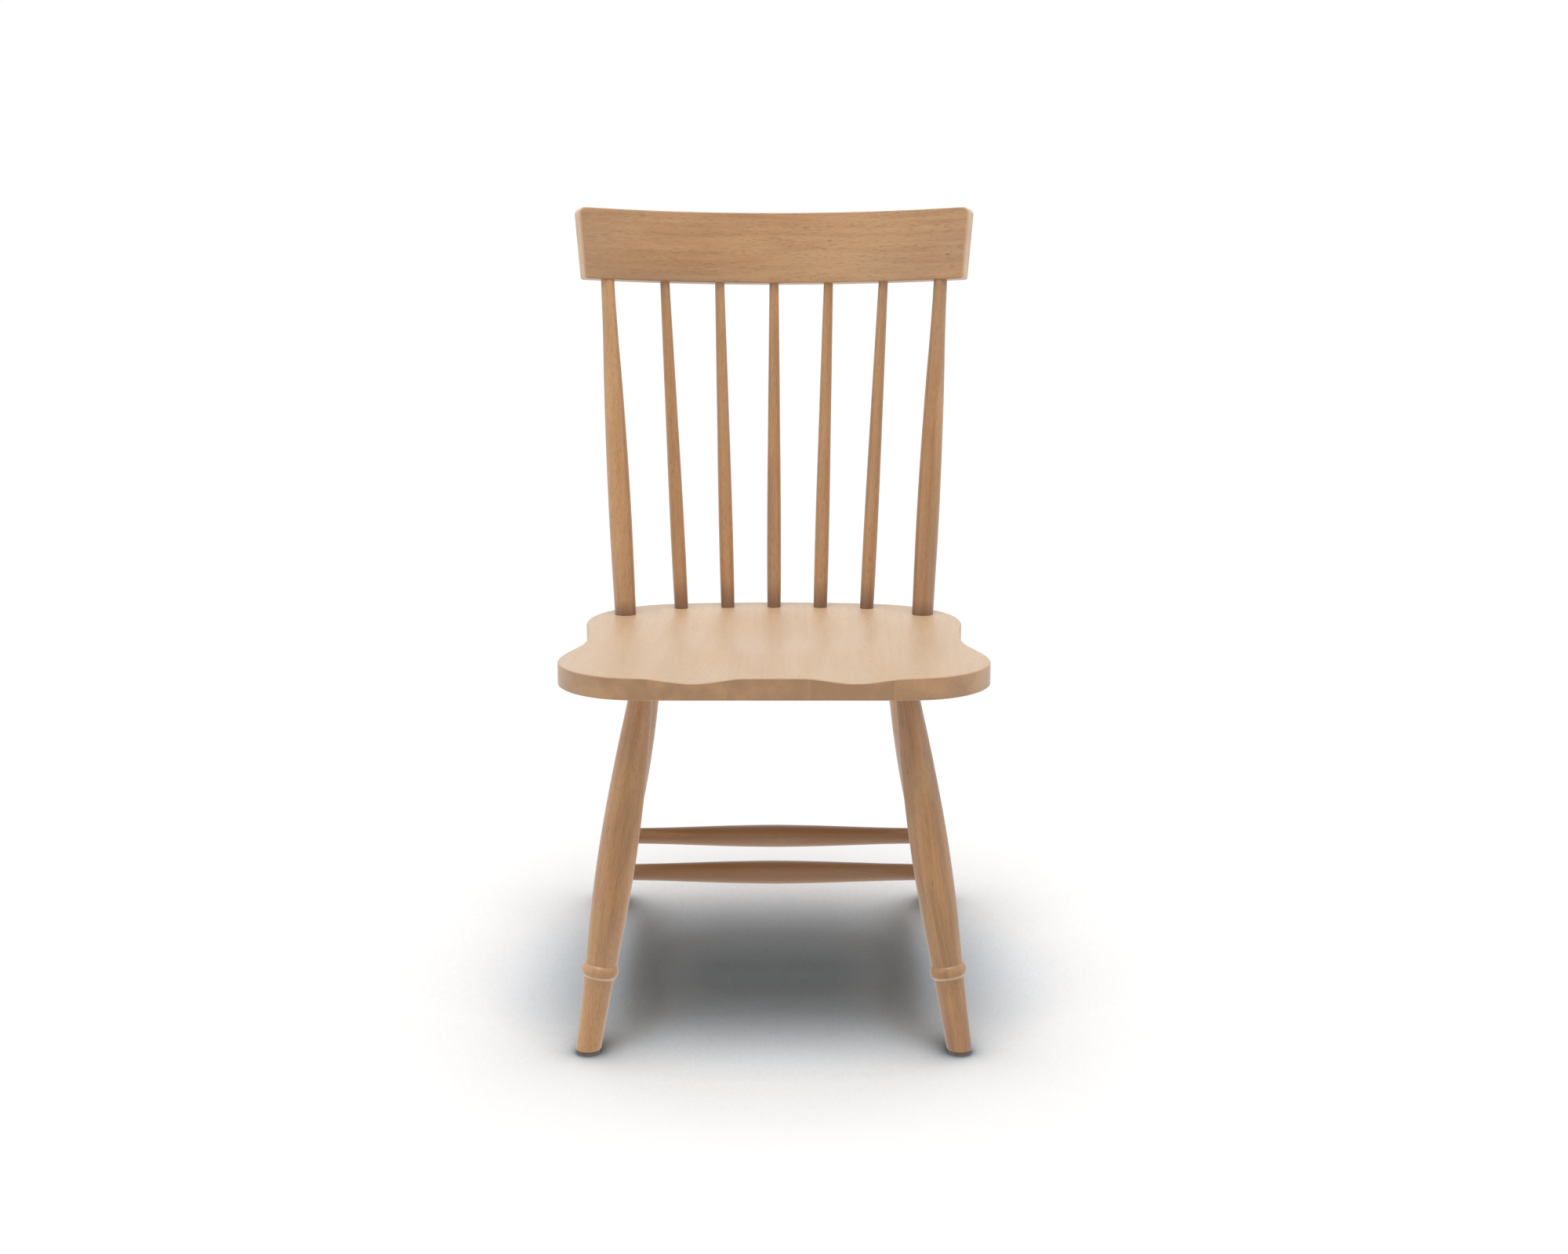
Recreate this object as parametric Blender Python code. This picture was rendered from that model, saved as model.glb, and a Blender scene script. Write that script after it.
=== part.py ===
"""Windsor side chair: a saddled seat, seven back spindles under a bent comb rail, four turned and
raked legs, and an H stretcher with two cross bars. Lengths are in metres and angles in degrees.
+Z is up and -Y is the front. The origin is on the floor, under the middle of the whole chair.
Left is the -X side, as someone who faces the chair sees it."""

import math

import bmesh
import bpy
import numpy as np

# Fits: the gap all round a joint, and how far a boring tool runs out of the wood
JOINT_GAP = 0.0003
BORE_OVERRUN = 0.012

# Seat: a board that falls to the back, with its waist and lobes cut in the outline
SEAT_WIDTH = 0.494
SEAT_DEPTH = 0.440
SEAT_THICKNESS = 0.026
SEAT_FRONT_HEIGHT = 0.4587
SEAT_FALL = 0.0167
SEAT_ARRIS = 0.0018
SEAT_SOCKET_FLOOR = 0.009

# Half of the seat's outline, from the middle of the front to the middle of the back:
# shares of half the width, and of the depth behind the front edge
SEAT_OUTLINE_SHARES = (
    (0.00, 0.000), (0.25, 0.000), (0.48, 0.000), (0.66, 0.003), (0.78, 0.020), (0.87, 0.053),
    (0.928, 0.088), (0.966, 0.124), (0.990, 0.160), (1.000, 0.200), (0.998, 0.243), (0.977, 0.301),
    (0.942, 0.360), (0.910, 0.420), (0.897, 0.480), (0.898, 0.550), (0.912, 0.630), (0.925, 0.710),
    (0.910, 0.781), (0.862, 0.848), (0.780, 0.903), (0.665, 0.950), (0.510, 0.978), (0.350, 0.991),
    (0.180, 0.998), (0.00, 1.000),
)

# Saddling: one shallow bowl, and two thigh hollows that run out through the front edge
BOWL_DEPTH = 0.0080
BOWL_WIDTH = 0.330
BOWL_FRONT = 0.115
BOWL_TO_SPINDLES = 0.012
THIGH_HOLLOW_DEPTH = 0.0060
THIGH_HOLLOW_WIDTH = 0.125
THIGH_HOLLOW_SPACING = 0.182
THIGH_HOLLOW_LENGTH = 0.230
THIGH_HOLLOW_DRAW_IN = 0.030

# Comb rail: a flat board bent to an arc and leaned back, narrower at its lower edge. The middle of
# its lower edge lies above the seat's front edge and behind the seat's back edge.
COMB_ABOVE_SEAT = 0.3803
COMB_BEHIND_SEAT = 0.0506
COMB_LEAN = 14.0
COMB_BEND_RADIUS = 0.620
COMB_TOP_WIDTH = 0.4950
COMB_BASE_WIDTH = 0.4786
COMB_RISE = 0.0875
COMB_THICKNESS = 0.020
COMB_TOP_CORNER = 0.0075
COMB_BASE_CORNER = 0.0035
COMB_ARRIS = 0.0015

# Spindles: their feet follow the back edge of the seat, inset, and their heads the comb rail.
# Places are shares of half the seat's width and of half the comb's lower width.
SPINDLE_INSET = 0.029
SPINDLE_PLACE_SHARES = {
    "centre_spindle": (0.0, 0.0),
    "inner_spindle": (0.235, 0.2835),
    "outer_spindle": (0.470, 0.568),
    "back_post": (0.745, 0.8604),
}
SPINDLE_DIAMETER = 0.0177
SPINDLE_FOOT_TENON = 0.0120
SPINDLE_HEAD_TENON = 0.0085
POST_DIAMETER = 0.0280
POST_FOOT_TENON = 0.0160
POST_HEAD_TENON = 0.0115
HEAD_TENON_LENGTH = 0.028

# Turned profiles: shares of the visible length from its lower end, and of the largest diameter
SPINDLE_GIRTH_SHARES = (
    (0.00, 0.955), (0.07, 0.985), (0.16, 1.000), (0.28, 0.985), (0.41, 0.945), (0.55, 0.875),
    (0.70, 0.810), (0.85, 0.735), (1.00, 0.660),
)
POST_GIRTH_SHARES = (
    (0.00, 0.930), (0.10, 0.965), (0.28, 1.000), (0.42, 0.975), (0.56, 0.910), (0.70, 0.812),
    (0.84, 0.676), (0.93, 0.617), (1.00, 0.595),
)
LEG_GIRTH_SHARES = (
    (0.000, 0.656), (0.045, 0.670), (0.10, 0.702), (0.15, 0.745), (0.20, 0.790), (0.25, 0.835),
    (0.30, 0.880), (0.36, 0.938), (0.44, 0.982), (0.53, 1.000), (0.61, 0.984), (0.68, 0.948),
    (0.75, 0.890), (0.81, 0.833), (0.87, 0.762), (0.94, 0.665), (1.00, 0.590),
)
STRETCHER_GIRTH_SHARES = (
    (0.00, 0.690), (0.10, 0.740), (0.22, 0.835), (0.36, 0.945), (0.50, 1.000), (0.64, 0.945),
    (0.78, 0.835), (0.90, 0.740), (1.00, 0.690),
)

# Legs: how far in from the seat's widest side, and from its front or back edge, each axis meets
# the underside of the seat, and how far it leans outwards and backwards
LEG_DIAMETER = 0.0442
LEG_TENON = 0.0220
FRONT_LEG_SIDE_INSET = 0.0975
FRONT_LEG_FRONT_INSET = 0.075
FRONT_LEG_SPLAY = 8.8
FRONT_LEG_RAKE = -5.2
REAR_LEG_SIDE_INSET = 0.0975
REAR_LEG_BACK_INSET = 0.070
REAR_LEG_SPLAY = 9.5
REAR_LEG_RAKE = 26.0
FOOT_CHAMFER = 0.0022

# The turned ring low on each leg, placed by its share of the leg's visible length
RING_PLACE_SHARE = 0.2205
RING_DIAMETER = 0.0424
RING_HEIGHT = 0.0190

# Stretchers: two side bars at one height, and two cross bars let into them at shares of the way
# from the front leg to the rear leg
STRETCHER_HEIGHT = 0.166
SIDE_STRETCHER_DIAMETER = 0.0290
CROSS_STRETCHER_DIAMETER = 0.0279
CROSS_STRETCHER_TENON = 0.0180
SIDE_STRETCHER_TENON = 0.0190
FRONT_CROSS_STRETCHER_SHARE = 0.325
REAR_CROSS_STRETCHER_SHARE = 0.640
TENON_PAST_LEG_AXIS = 0.002

# Glides: a moulded disc under each foot, held by one nail whose head is sunk in the disc
GLIDE_DIAMETER = 0.0265
GLIDE_THICKNESS = 0.0045
GLIDE_ARRIS = 0.0006
NAIL_HEAD_DIAMETER = 0.0070
NAIL_HEAD_THICKNESS = 0.0012
NAIL_HEAD_SINK = 0.0008
NAIL_SHANK_DIAMETER = 0.0025
NAIL_LENGTH = 0.0200
NAIL_POINT_LENGTH = 0.0030

# Facets: how many flats a round piece has, and how finely a curve is drawn before it is sampled
LEG_SIDES = 20
POST_SIDES = 16
SPINDLE_SIDES = 14
STRETCHER_SIDES = 16
GLIDE_SIDES = 20
NAIL_SIDES = 8
SEAT_OUTLINE_POINTS = 88
COMB_SLICES = 20
CORNER_STEPS = 3
CURVE_STEPS = 12
RING_STEPS = 6
SMOOTH_ANGLE = 32.0

# Grids: shares of the way out from the seat's centre, and of the visible length of a stick
SEAT_RING_SHARES = (0.20, 0.38, 0.54, 0.68, 0.80, 0.90)
SEAT_CENTRE_SHARE = 0.52
STICK_STATION_SHARES = (0.06, 0.16, 0.28, 0.40, 0.52, 0.64, 0.76, 0.88, 0.95)
STRETCHER_STATION_SHARES = (0.10, 0.20, 0.30, 0.40, 0.50, 0.60, 0.70, 0.80, 0.90)
LEG_STATION_SHARES = (0.06, 0.12, 0.17, 0.30, 0.37, 0.45, 0.53, 0.61, 0.69, 0.76, 0.83, 0.89, 0.95)

# Finishes: sRGB colour, roughness and metallic value
WOOD_FINISHES = {
    "seat": ((0.86, 0.72, 0.58), 0.42, 0.0),
    "comb": ((0.71, 0.55, 0.42), 0.45, 0.0),
    "stick": ((0.70, 0.53, 0.39), 0.45, 0.0),
}
GLIDE_FINISH = ((0.27, 0.25, 0.24), 0.70, 0.0)
NAIL_FINISH = ((0.62, 0.62, 0.64), 0.35, 1.0)

X_AXIS = np.array((1.0, 0.0, 0.0))
Y_AXIS = np.array((0.0, 1.0, 0.0))
Z_AXIS = np.array((0.0, 0.0, 1.0))
SIDES = {"left": -1, "right": 1}


def unit(vector):
    """The vector at a length of one."""
    return np.asarray(vector) / np.linalg.norm(vector)


def through_points(points, closed):
    """A fine smooth curve through points: cubic pieces whose slope at each point is the mean of
    the chords on both sides of it, weighted to the nearer neighbour."""
    points = np.asarray(points, dtype=float)
    if closed:
        around = np.vstack((points[-1:], points, points[:2]))
    else:
        around = np.vstack((2 * points[:1] - points[1:2], points, 2 * points[-1:] - points[-2:-1]))
    chord = np.diff(around, axis=0)
    length = np.linalg.norm(chord, axis=1)[:, None]
    slope = chord / length
    tangent = (slope[:-1] * length[1:] + slope[1:] * length[:-1]) / (length[1:] + length[:-1])
    pieces = len(points) if closed else len(points) - 1
    t = (np.arange(CURVE_STEPS) / CURVE_STEPS)[:, None]
    curve = []
    for i in range(pieces):
        start, end = around[i + 1], around[i + 2]
        leave = tangent[i] * length[i + 1]
        arrive = tangent[(i + 1) % len(tangent)] * length[i + 1]
        curve.append((2 * t**3 - 3 * t**2 + 1) * start + (t**3 - 2 * t**2 + t) * leave
                     + (3 * t**2 - 2 * t**3) * end + (t**3 - t**2) * arrive)
    if not closed:
        curve.append(points[-1:])
    return np.vstack(curve)


def girth(shares, diameter, places):
    """Radii of a turned profile at the given shares of its length."""
    curve = through_points(shares, closed=False)
    return np.interp(places, curve[:, 0], curve[:, 1]) * diameter / 2


def seat_outline():
    """The seat's outline as even points, anticlockwise from the middle of the front edge.
    Each point is x, and the distance behind the front edge."""
    half = np.array(SEAT_OUTLINE_SHARES) * (SEAT_WIDTH / 2, SEAT_DEPTH)
    other_half = half[-2:0:-1] * (-1, 1)
    fine = through_points(np.vstack((half, other_half)), closed=True)
    fine[:, 0] *= SEAT_WIDTH / np.ptp(fine[:, 0])
    fine[:, 1] = (fine[:, 1] - fine[:, 1].min()) * SEAT_DEPTH / np.ptp(fine[:, 1])
    ring = np.vstack((fine, fine[:1]))
    travel = np.concatenate(([0.0], np.cumsum(np.linalg.norm(np.diff(ring, axis=0), axis=1))))
    places = np.arange(SEAT_OUTLINE_POINTS) * travel[-1] / SEAT_OUTLINE_POINTS
    return np.column_stack([np.interp(places, travel, ring[:, k]) for k in (0, 1)])


def inset(outline, distance):
    """The outline moved inwards by a distance, along its own normals."""
    along = np.roll(outline, -1, axis=0) - np.roll(outline, 1, axis=0)
    inward = np.column_stack((-along[:, 1], along[:, 0])) / np.linalg.norm(along, axis=1)[:, None]
    return outline + inward * distance


def rim_height(setback):
    """Height of the seat's flat rim at a distance behind the front edge."""
    return SEAT_FRONT_HEIGHT - SEAT_FALL * setback / SEAT_DEPTH


def hump(distance):
    """A smooth rise that is one at zero and falls to nothing at a distance of one."""
    return np.cos(np.clip(np.abs(distance), 0, 1) * math.pi / 2) ** 2


def saddling(x, setback):
    """Depth of the saddled surface below the flat rim."""
    bowl_back = SEAT_DEPTH - SPINDLE_INSET - BOWL_TO_SPINDLES
    middle = (BOWL_FRONT + bowl_back) / 2
    reach = (bowl_back - BOWL_FRONT) / 2
    radius = np.hypot(x / (BOWL_WIDTH / 2), (setback - middle) / reach)
    bowl = BOWL_DEPTH * np.clip(1 - radius**2, 0, None) ** 2
    run = np.clip(setback / THIGH_HOLLOW_LENGTH, 0, 1)
    centre = THIGH_HOLLOW_SPACING / 2 - THIGH_HOLLOW_DRAW_IN * run
    thigh = hump((np.abs(x) - centre) / (THIGH_HOLLOW_WIDTH / 2)) * hump(run) * THIGH_HOLLOW_DEPTH
    return bowl + thigh


def spindle_foot(share):
    """Where a spindle's axis meets the seat's rim, at a share of half the seat's width."""
    line = inset(seat_outline(), SPINDLE_INSET)
    half = line[: SEAT_OUTLINE_POINTS // 2 + 1]
    back = half[np.argmax(half[:, 0]):][::-1]
    x = share * SEAT_WIDTH / 2
    setback = np.interp(x, back[:, 0], back[:, 1])
    return np.array((x, setback, rim_height(setback)))


def comb_axes():
    """The comb rail's backward and upward directions."""
    lean = math.radians(COMB_LEAN)
    back = np.array((0.0, math.cos(lean), -math.sin(lean)))
    up = np.array((0.0, math.sin(lean), math.cos(lean)))
    return back, up


def comb_point(travel, rise, depth):
    """A point of the bent comb rail: travel along its middle line from the centre, rise above
    its lower edge, and depth behind its middle line."""
    back, up = comb_axes()
    turn = travel / COMB_BEND_RADIUS
    radius = COMB_BEND_RADIUS + depth
    base = np.array((0.0, SEAT_DEPTH + COMB_BEHIND_SEAT, SEAT_FRONT_HEIGHT + COMB_ABOVE_SEAT))
    return (base + radius * math.sin(turn) * X_AXIS
            + (radius * math.cos(turn) - COMB_BEND_RADIUS) * back + rise * up)


def comb_travel(half_width):
    """Travel along the comb's middle line at which its back face is half_width from the centre."""
    return COMB_BEND_RADIUS * math.asin(half_width / (COMB_BEND_RADIUS + COMB_THICKNESS / 2))


def seat_normal():
    """Upward normal of the seat's rim and underside."""
    return unit((0.0, SEAT_FALL, SEAT_DEPTH))


def leg_line(side, side_inset, setback, splay, rake):
    """The foot and the shoulder of a leg's axis: the foot on the glide, the shoulder under the seat."""
    x = side * (SEAT_WIDTH / 2 - side_inset)
    shoulder = np.array((x, setback, rim_height(setback) - SEAT_THICKNESS))
    slope = np.array((side * math.tan(math.radians(splay)), math.tan(math.radians(rake)), -1.0))
    foot = shoulder + slope * (shoulder[2] - GLIDE_THICKNESS)
    return foot, shoulder


def point_at_height(line, height):
    """The point of a leg's axis at a height."""
    foot, shoulder = line
    return foot + (shoulder - foot) * (height - foot[2]) / (shoulder[2] - foot[2])


def material(name, finish):
    """A plain finish with its colour, roughness and metallic value."""
    existing = bpy.data.materials.get(name)
    if existing:
        return existing
    colour, roughness, metallic = finish
    made = bpy.data.materials.new(name)
    made.use_nodes = True
    shader = made.node_tree.nodes["Principled BSDF"]
    linear = [c / 12.92 if c <= 0.04045 else ((c + 0.055) / 1.055) ** 2.4 for c in colour]
    shader.inputs["Base Color"].default_value = (*linear, 1.0)
    shader.inputs["Roughness"].default_value = roughness
    shader.inputs["Metallic"].default_value = metallic
    return made


def new_object(name, bm, origin, finish):
    """Makes an object at its own origin from a mesh whose points are in the chair's frame."""
    bmesh.ops.translate(bm, verts=bm.verts, vec=[-value for value in origin])
    bmesh.ops.recalc_face_normals(bm, faces=bm.faces)
    mesh = bpy.data.meshes.new(name)
    bm.to_mesh(mesh)
    bm.free()
    mesh.shade_smooth()
    mesh.set_sharp_from_angle(angle=math.radians(SMOOTH_ANGLE))
    made = bpy.data.objects.new(name, mesh)
    made.location = origin
    bpy.context.collection.objects.link(made)
    if finish:
        mesh.materials.append(material(name + "_finish", finish))
    return made


def bridge(bm, lower, upper):
    """Faces between two rings of as many points."""
    for i in range(len(lower)):
        j = (i + 1) % len(lower)
        bm.faces.new((lower[i], lower[j], upper[j], upper[i]))


def add_rings(bm, rings):
    """A closed skin over rings of points, with a flat face on each end."""
    rows = [[bm.verts.new(point) for point in ring] for ring in rings]
    for lower, upper in zip(rows, rows[1:]):
        bridge(bm, lower, upper)
    bm.faces.new(rows[0][::-1])
    bm.faces.new(rows[-1])


def ring_points(centre, axis, radius, sides, cut=None):
    """A ring square to an axis, or slid along the axis onto a plane (cut is its point, normal)."""
    reference = X_AXIS if abs(axis[0]) < abs(axis[2]) else Y_AXIS
    across = unit(reference - np.dot(reference, axis) * axis)
    along = np.cross(axis, across)
    turn = np.arange(sides) * 2 * math.pi / sides
    points = centre + radius * (np.outer(np.cos(turn), across) + np.outer(np.sin(turn), along))
    if cut is not None:
        plane_point, normal = cut
        slide = (plane_point - points) @ normal / np.dot(axis, normal)
        points = points + slide[:, None] * axis
    return points


def turned_rings(start, end, stations, sides):
    """Rings of a turned stick. A station is its distance from start, its radius and its cut."""
    axis = unit(end - start)
    return [ring_points(start + axis * distance, axis, radius, sides, cut)
            for distance, radius, cut in stations]


def bore(target, name, holes):
    """Cuts round holes in an object. A hole is its bottom, its mouth, its radius and its sides."""
    bm = bmesh.new()
    for bottom, mouth, radius, sides in holes:
        length = np.linalg.norm(mouth - bottom)
        ends = [(0.0, radius, None), (length, radius, None)]
        add_rings(bm, turned_rings(bottom, mouth, ends, sides))
    cutter = new_object(name, bm, (0.0, 0.0, 0.0), None)
    cutter.hide_render = True
    cutter.display_type = "WIRE"
    cut = target.modifiers.new("sockets", "BOOLEAN")
    cut.operation = "DIFFERENCE"
    cut.solver = "EXACT"
    cut.object = cutter
    return cutter


def socket(surface_point, tenon_end, tenon_radius, sides):
    """The hole for a tenon that enters at surface_point and stops at tenon_end."""
    outward = unit(surface_point - tenon_end)
    bottom = tenon_end - outward * JOINT_GAP
    mouth = surface_point + outward * BORE_OVERRUN
    return bottom, mouth, tenon_radius + JOINT_GAP, sides


def make_stick(name, foot, head, girth_shares, diameter, foot_tenon, head_tenon, sides):
    """A spindle or post between the seat's rim and the comb, with a shoulder cut to lie flat on
    each and a tenon beyond it. Returns the object and its two sockets."""
    length = np.linalg.norm(head - foot)
    axis = unit(head - foot)
    up = comb_axes()[1]
    foot_cut = (foot + seat_normal() * JOINT_GAP, seat_normal())
    head_cut = (head - up * JOINT_GAP, up)
    foot_end = SEAT_THICKNESS - SEAT_SOCKET_FLOOR
    ends = girth(girth_shares, diameter, (0.0, 1.0))
    places = np.array(STICK_STATION_SHARES)
    stations = [(-foot_end, foot_tenon / 2, None), (0.0, foot_tenon / 2, foot_cut),
                (0.0, ends[0], foot_cut)]
    stations += [(p * length, r, None) for p, r in zip(places, girth(girth_shares, diameter, places))]
    stations += [(length, ends[1], head_cut), (length, head_tenon / 2, head_cut),
                 (length + HEAD_TENON_LENGTH, head_tenon / 2, None)]
    bm = bmesh.new()
    add_rings(bm, turned_rings(foot, head, stations, sides))
    made = new_object(name, bm, foot, WOOD_FINISHES["stick"])
    seat_socket = socket(foot, foot - axis * foot_end, foot_tenon / 2, sides)
    comb_socket = socket(head, head + axis * HEAD_TENON_LENGTH, head_tenon / 2, sides)
    return made, seat_socket, comb_socket


def make_back_sticks():
    """The centre spindle, two pairs of spindles and the two posts, with their sockets."""
    sticks, seat_sockets, comb_sockets = [], [], []
    for kind, (seat_share, comb_share) in SPINDLE_PLACE_SHARES.items():
        post = kind == "back_post"
        foot = spindle_foot(seat_share)
        turn = math.asin(comb_share * COMB_BASE_WIDTH / 2 / COMB_BEND_RADIUS)
        head = comb_point(COMB_BEND_RADIUS * turn, 0.0, 0.0)
        shares = POST_GIRTH_SHARES if post else SPINDLE_GIRTH_SHARES
        diameter = POST_DIAMETER if post else SPINDLE_DIAMETER
        foot_tenon = POST_FOOT_TENON if post else SPINDLE_FOOT_TENON
        head_tenon = POST_HEAD_TENON if post else SPINDLE_HEAD_TENON
        flats = POST_SIDES if post else SPINDLE_SIDES
        names = {"": 1} if seat_share == 0 else {"_" + word: side for word, side in SIDES.items()}
        for word, side in names.items():
            mirror = np.array((side, 1.0, 1.0))
            made, seat_socket, comb_socket = make_stick(
                kind + word, foot * mirror, head * mirror, shares, diameter, foot_tenon, head_tenon,
                flats)
            sticks.append(made)
            seat_sockets.append(seat_socket)
            comb_sockets.append(comb_socket)
    return sticks, seat_sockets, comb_sockets


def leg_stations(length, floor_cut, chamfer_cut, seat_cut):
    """The stations of a leg from its foot to the end of its tenon, with the turned ring."""
    foot_radius, shoulder_radius = girth(LEG_GIRTH_SHARES, LEG_DIAMETER, (0.0, 1.0))
    stations = [(0.0, foot_radius - FOOT_CHAMFER, floor_cut), (0.0, foot_radius, chamfer_cut)]
    plain = [(share * length, None) for share in LEG_STATION_SHARES]
    ring_middle = RING_PLACE_SHARE * length
    across = np.linspace(-1.0, 1.0, RING_STEPS + 1)
    ringed = [(ring_middle + c * RING_HEIGHT / 2, c) for c in across]
    for distance, c in sorted(plain + ringed, key=lambda station: station[0]):
        radius = girth(LEG_GIRTH_SHARES, LEG_DIAMETER, distance / length)
        if c is not None:
            radius += (RING_DIAMETER / 2 - radius) * math.cos(c * math.pi / 2)
        stations.append((distance, radius, None))
    tenon = LEG_TENON / 2
    stations += [(length, shoulder_radius, seat_cut), (length, tenon, seat_cut),
                 (length + SEAT_THICKNESS - SEAT_SOCKET_FLOOR, tenon, None)]
    return stations


def make_leg(name, line, holes):
    """A turned leg on its axis, cut level at the foot, with its stretcher and nail holes.
    Returns the objects made and the seat's socket for it."""
    foot, shoulder = line
    axis = unit(shoulder - foot)
    length = np.linalg.norm(shoulder - foot)
    floor_cut = (foot, Z_AXIS)
    chamfer_cut = (foot + FOOT_CHAMFER * Z_AXIS, Z_AXIS)
    seat_cut = (shoulder - seat_normal() * JOINT_GAP, seat_normal())
    bm = bmesh.new()
    add_rings(bm, turned_rings(foot, shoulder, leg_stations(length, floor_cut, chamfer_cut, seat_cut),
                               LEG_SIDES))
    made = new_object(name, bm, foot, WOOD_FINISHES["stick"])
    cutter = bore(made, name + "_bores", holes + [nail_hole(foot)])
    tenon_end = shoulder + axis * (SEAT_THICKNESS - SEAT_SOCKET_FLOOR)
    return [made, cutter], socket(shoulder, tenon_end, LEG_TENON / 2, LEG_SIDES)


def make_stretcher(name, start, end, diameter, tenon, tenon_length, holes):
    """A stretcher that swells between straight tenons, which are let into what it joins."""
    length = np.linalg.norm(end - start)
    visible = length - 2 * tenon_length
    places = np.array(STRETCHER_STATION_SHARES)
    radii = np.maximum(girth(STRETCHER_GIRTH_SHARES, diameter, places), tenon / 2)
    stations = [(0.0, tenon / 2, None), (tenon_length, tenon / 2, None)]
    stations += [(tenon_length + p * visible, r, None) for p, r in zip(places, radii)]
    stations += [(length - tenon_length, tenon / 2, None), (length, tenon / 2, None)]
    bm = bmesh.new()
    add_rings(bm, turned_rings(start, end, stations, STRETCHER_SIDES))
    made = new_object(name, bm, start, WOOD_FINISHES["stick"])
    if not holes:
        return [made]
    return [made, bore(made, name + "_bores", holes)]


def make_under_frame():
    """The legs, stretchers, glides and nails. Returns the objects and the seat's leg sockets."""
    objects, seat_sockets = [], []
    cross_shares = {"front": FRONT_CROSS_STRETCHER_SHARE, "rear": REAR_CROSS_STRETCHER_SHARE}
    cross_ends = {word: {} for word in cross_shares}
    for word, side in SIDES.items():
        front = leg_line(side, FRONT_LEG_SIDE_INSET, FRONT_LEG_FRONT_INSET, FRONT_LEG_SPLAY,
                         FRONT_LEG_RAKE)
        rear = leg_line(side, REAR_LEG_SIDE_INSET, SEAT_DEPTH - REAR_LEG_BACK_INSET, REAR_LEG_SPLAY,
                        REAR_LEG_RAKE)
        front_joint = point_at_height(front, STRETCHER_HEIGHT)
        rear_joint = point_at_height(rear, STRETCHER_HEIGHT)
        along = unit(rear_joint - front_joint)
        start = front_joint - along * TENON_PAST_LEG_AXIS
        end = rear_joint + along * TENON_PAST_LEG_AXIS
        radius = SIDE_STRETCHER_TENON / 2
        surface = LEG_DIAMETER / 2
        front_hole = socket(front_joint + along * surface, start, radius, STRETCHER_SIDES)
        rear_hole = socket(rear_joint - along * surface, end, radius, STRETCHER_SIDES)
        for leg_name, line, hole in (("front_leg_", front, front_hole), ("rear_leg_", rear, rear_hole)):
            made, seat_socket = make_leg(leg_name + word, line, [hole])
            objects += made + make_glide(leg_name.replace("leg", "glide") + word, line[0])
            seat_sockets.append(seat_socket)
        inward = np.array((-side, 0.0, 0.0))
        holes = []
        for place, share in cross_shares.items():
            joint = front_joint + (rear_joint - front_joint) * share
            cross_ends[place][word] = joint
            mouth = joint + inward * SIDE_STRETCHER_DIAMETER / 2
            holes.append(socket(mouth, joint, CROSS_STRETCHER_TENON / 2, STRETCHER_SIDES))
        objects += make_stretcher("side_stretcher_" + word, start, end, SIDE_STRETCHER_DIAMETER,
                                  SIDE_STRETCHER_TENON, surface + TENON_PAST_LEG_AXIS, holes)
    for place, ends in cross_ends.items():
        objects += make_stretcher("cross_stretcher_" + place, ends["left"], ends["right"],
                                  CROSS_STRETCHER_DIAMETER, CROSS_STRETCHER_TENON,
                                  SIDE_STRETCHER_DIAMETER / 2, [])
    return objects, seat_sockets


def nail_hole(foot):
    """The pilot hole for a glide's nail, in the end of a leg."""
    depth = NAIL_HEAD_SINK + NAIL_LENGTH - GLIDE_THICKNESS + JOINT_GAP
    return (foot + depth * Z_AXIS, foot - BORE_OVERRUN * Z_AXIS, NAIL_SHANK_DIAMETER / 2 + JOINT_GAP,
            NAIL_SIDES)


def make_glide(name, foot):
    """A glide disc with a stepped hole, and the nail that holds it under the foot."""
    floor = foot - GLIDE_THICKNESS * Z_AXIS
    top = GLIDE_THICKNESS - JOINT_GAP
    edge = GLIDE_DIAMETER / 2
    head_hole = NAIL_HEAD_DIAMETER / 2 + JOINT_GAP
    shank_hole = NAIL_SHANK_DIAMETER / 2 + JOINT_GAP
    step = NAIL_HEAD_SINK + NAIL_HEAD_THICKNESS + JOINT_GAP
    profile = [(0.0, head_hole), (0.0, edge - GLIDE_ARRIS), (GLIDE_ARRIS, edge), (top, edge),
               (top, shank_hole), (step, shank_hole), (step, head_hole)]
    rings = [ring_points(floor + rise * Z_AXIS, Z_AXIS, radius, GLIDE_SIDES)
             for rise, radius in profile]
    bm = bmesh.new()
    rows = [[bm.verts.new(point) for point in ring] for ring in rings]
    for lower, upper in zip(rows, rows[1:] + rows[:1]):
        bridge(bm, lower, upper)
    disc = new_object(name, bm, floor, GLIDE_FINISH)
    head, shank = NAIL_HEAD_DIAMETER / 2, NAIL_SHANK_DIAMETER / 2
    stations = [(0.0, head, None), (NAIL_HEAD_THICKNESS, head, None), (NAIL_HEAD_THICKNESS, shank, None),
                (NAIL_LENGTH - NAIL_POINT_LENGTH, shank, None), (NAIL_LENGTH, shank / 4, None)]
    nail_foot = floor + NAIL_HEAD_SINK * Z_AXIS
    bm = bmesh.new()
    add_rings(bm, turned_rings(nail_foot, nail_foot + Z_AXIS, stations, NAIL_SIDES))
    nail = new_object(name.replace("glide", "glide_nail"), bm, nail_foot, NAIL_FINISH)
    return [disc, nail]


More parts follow.
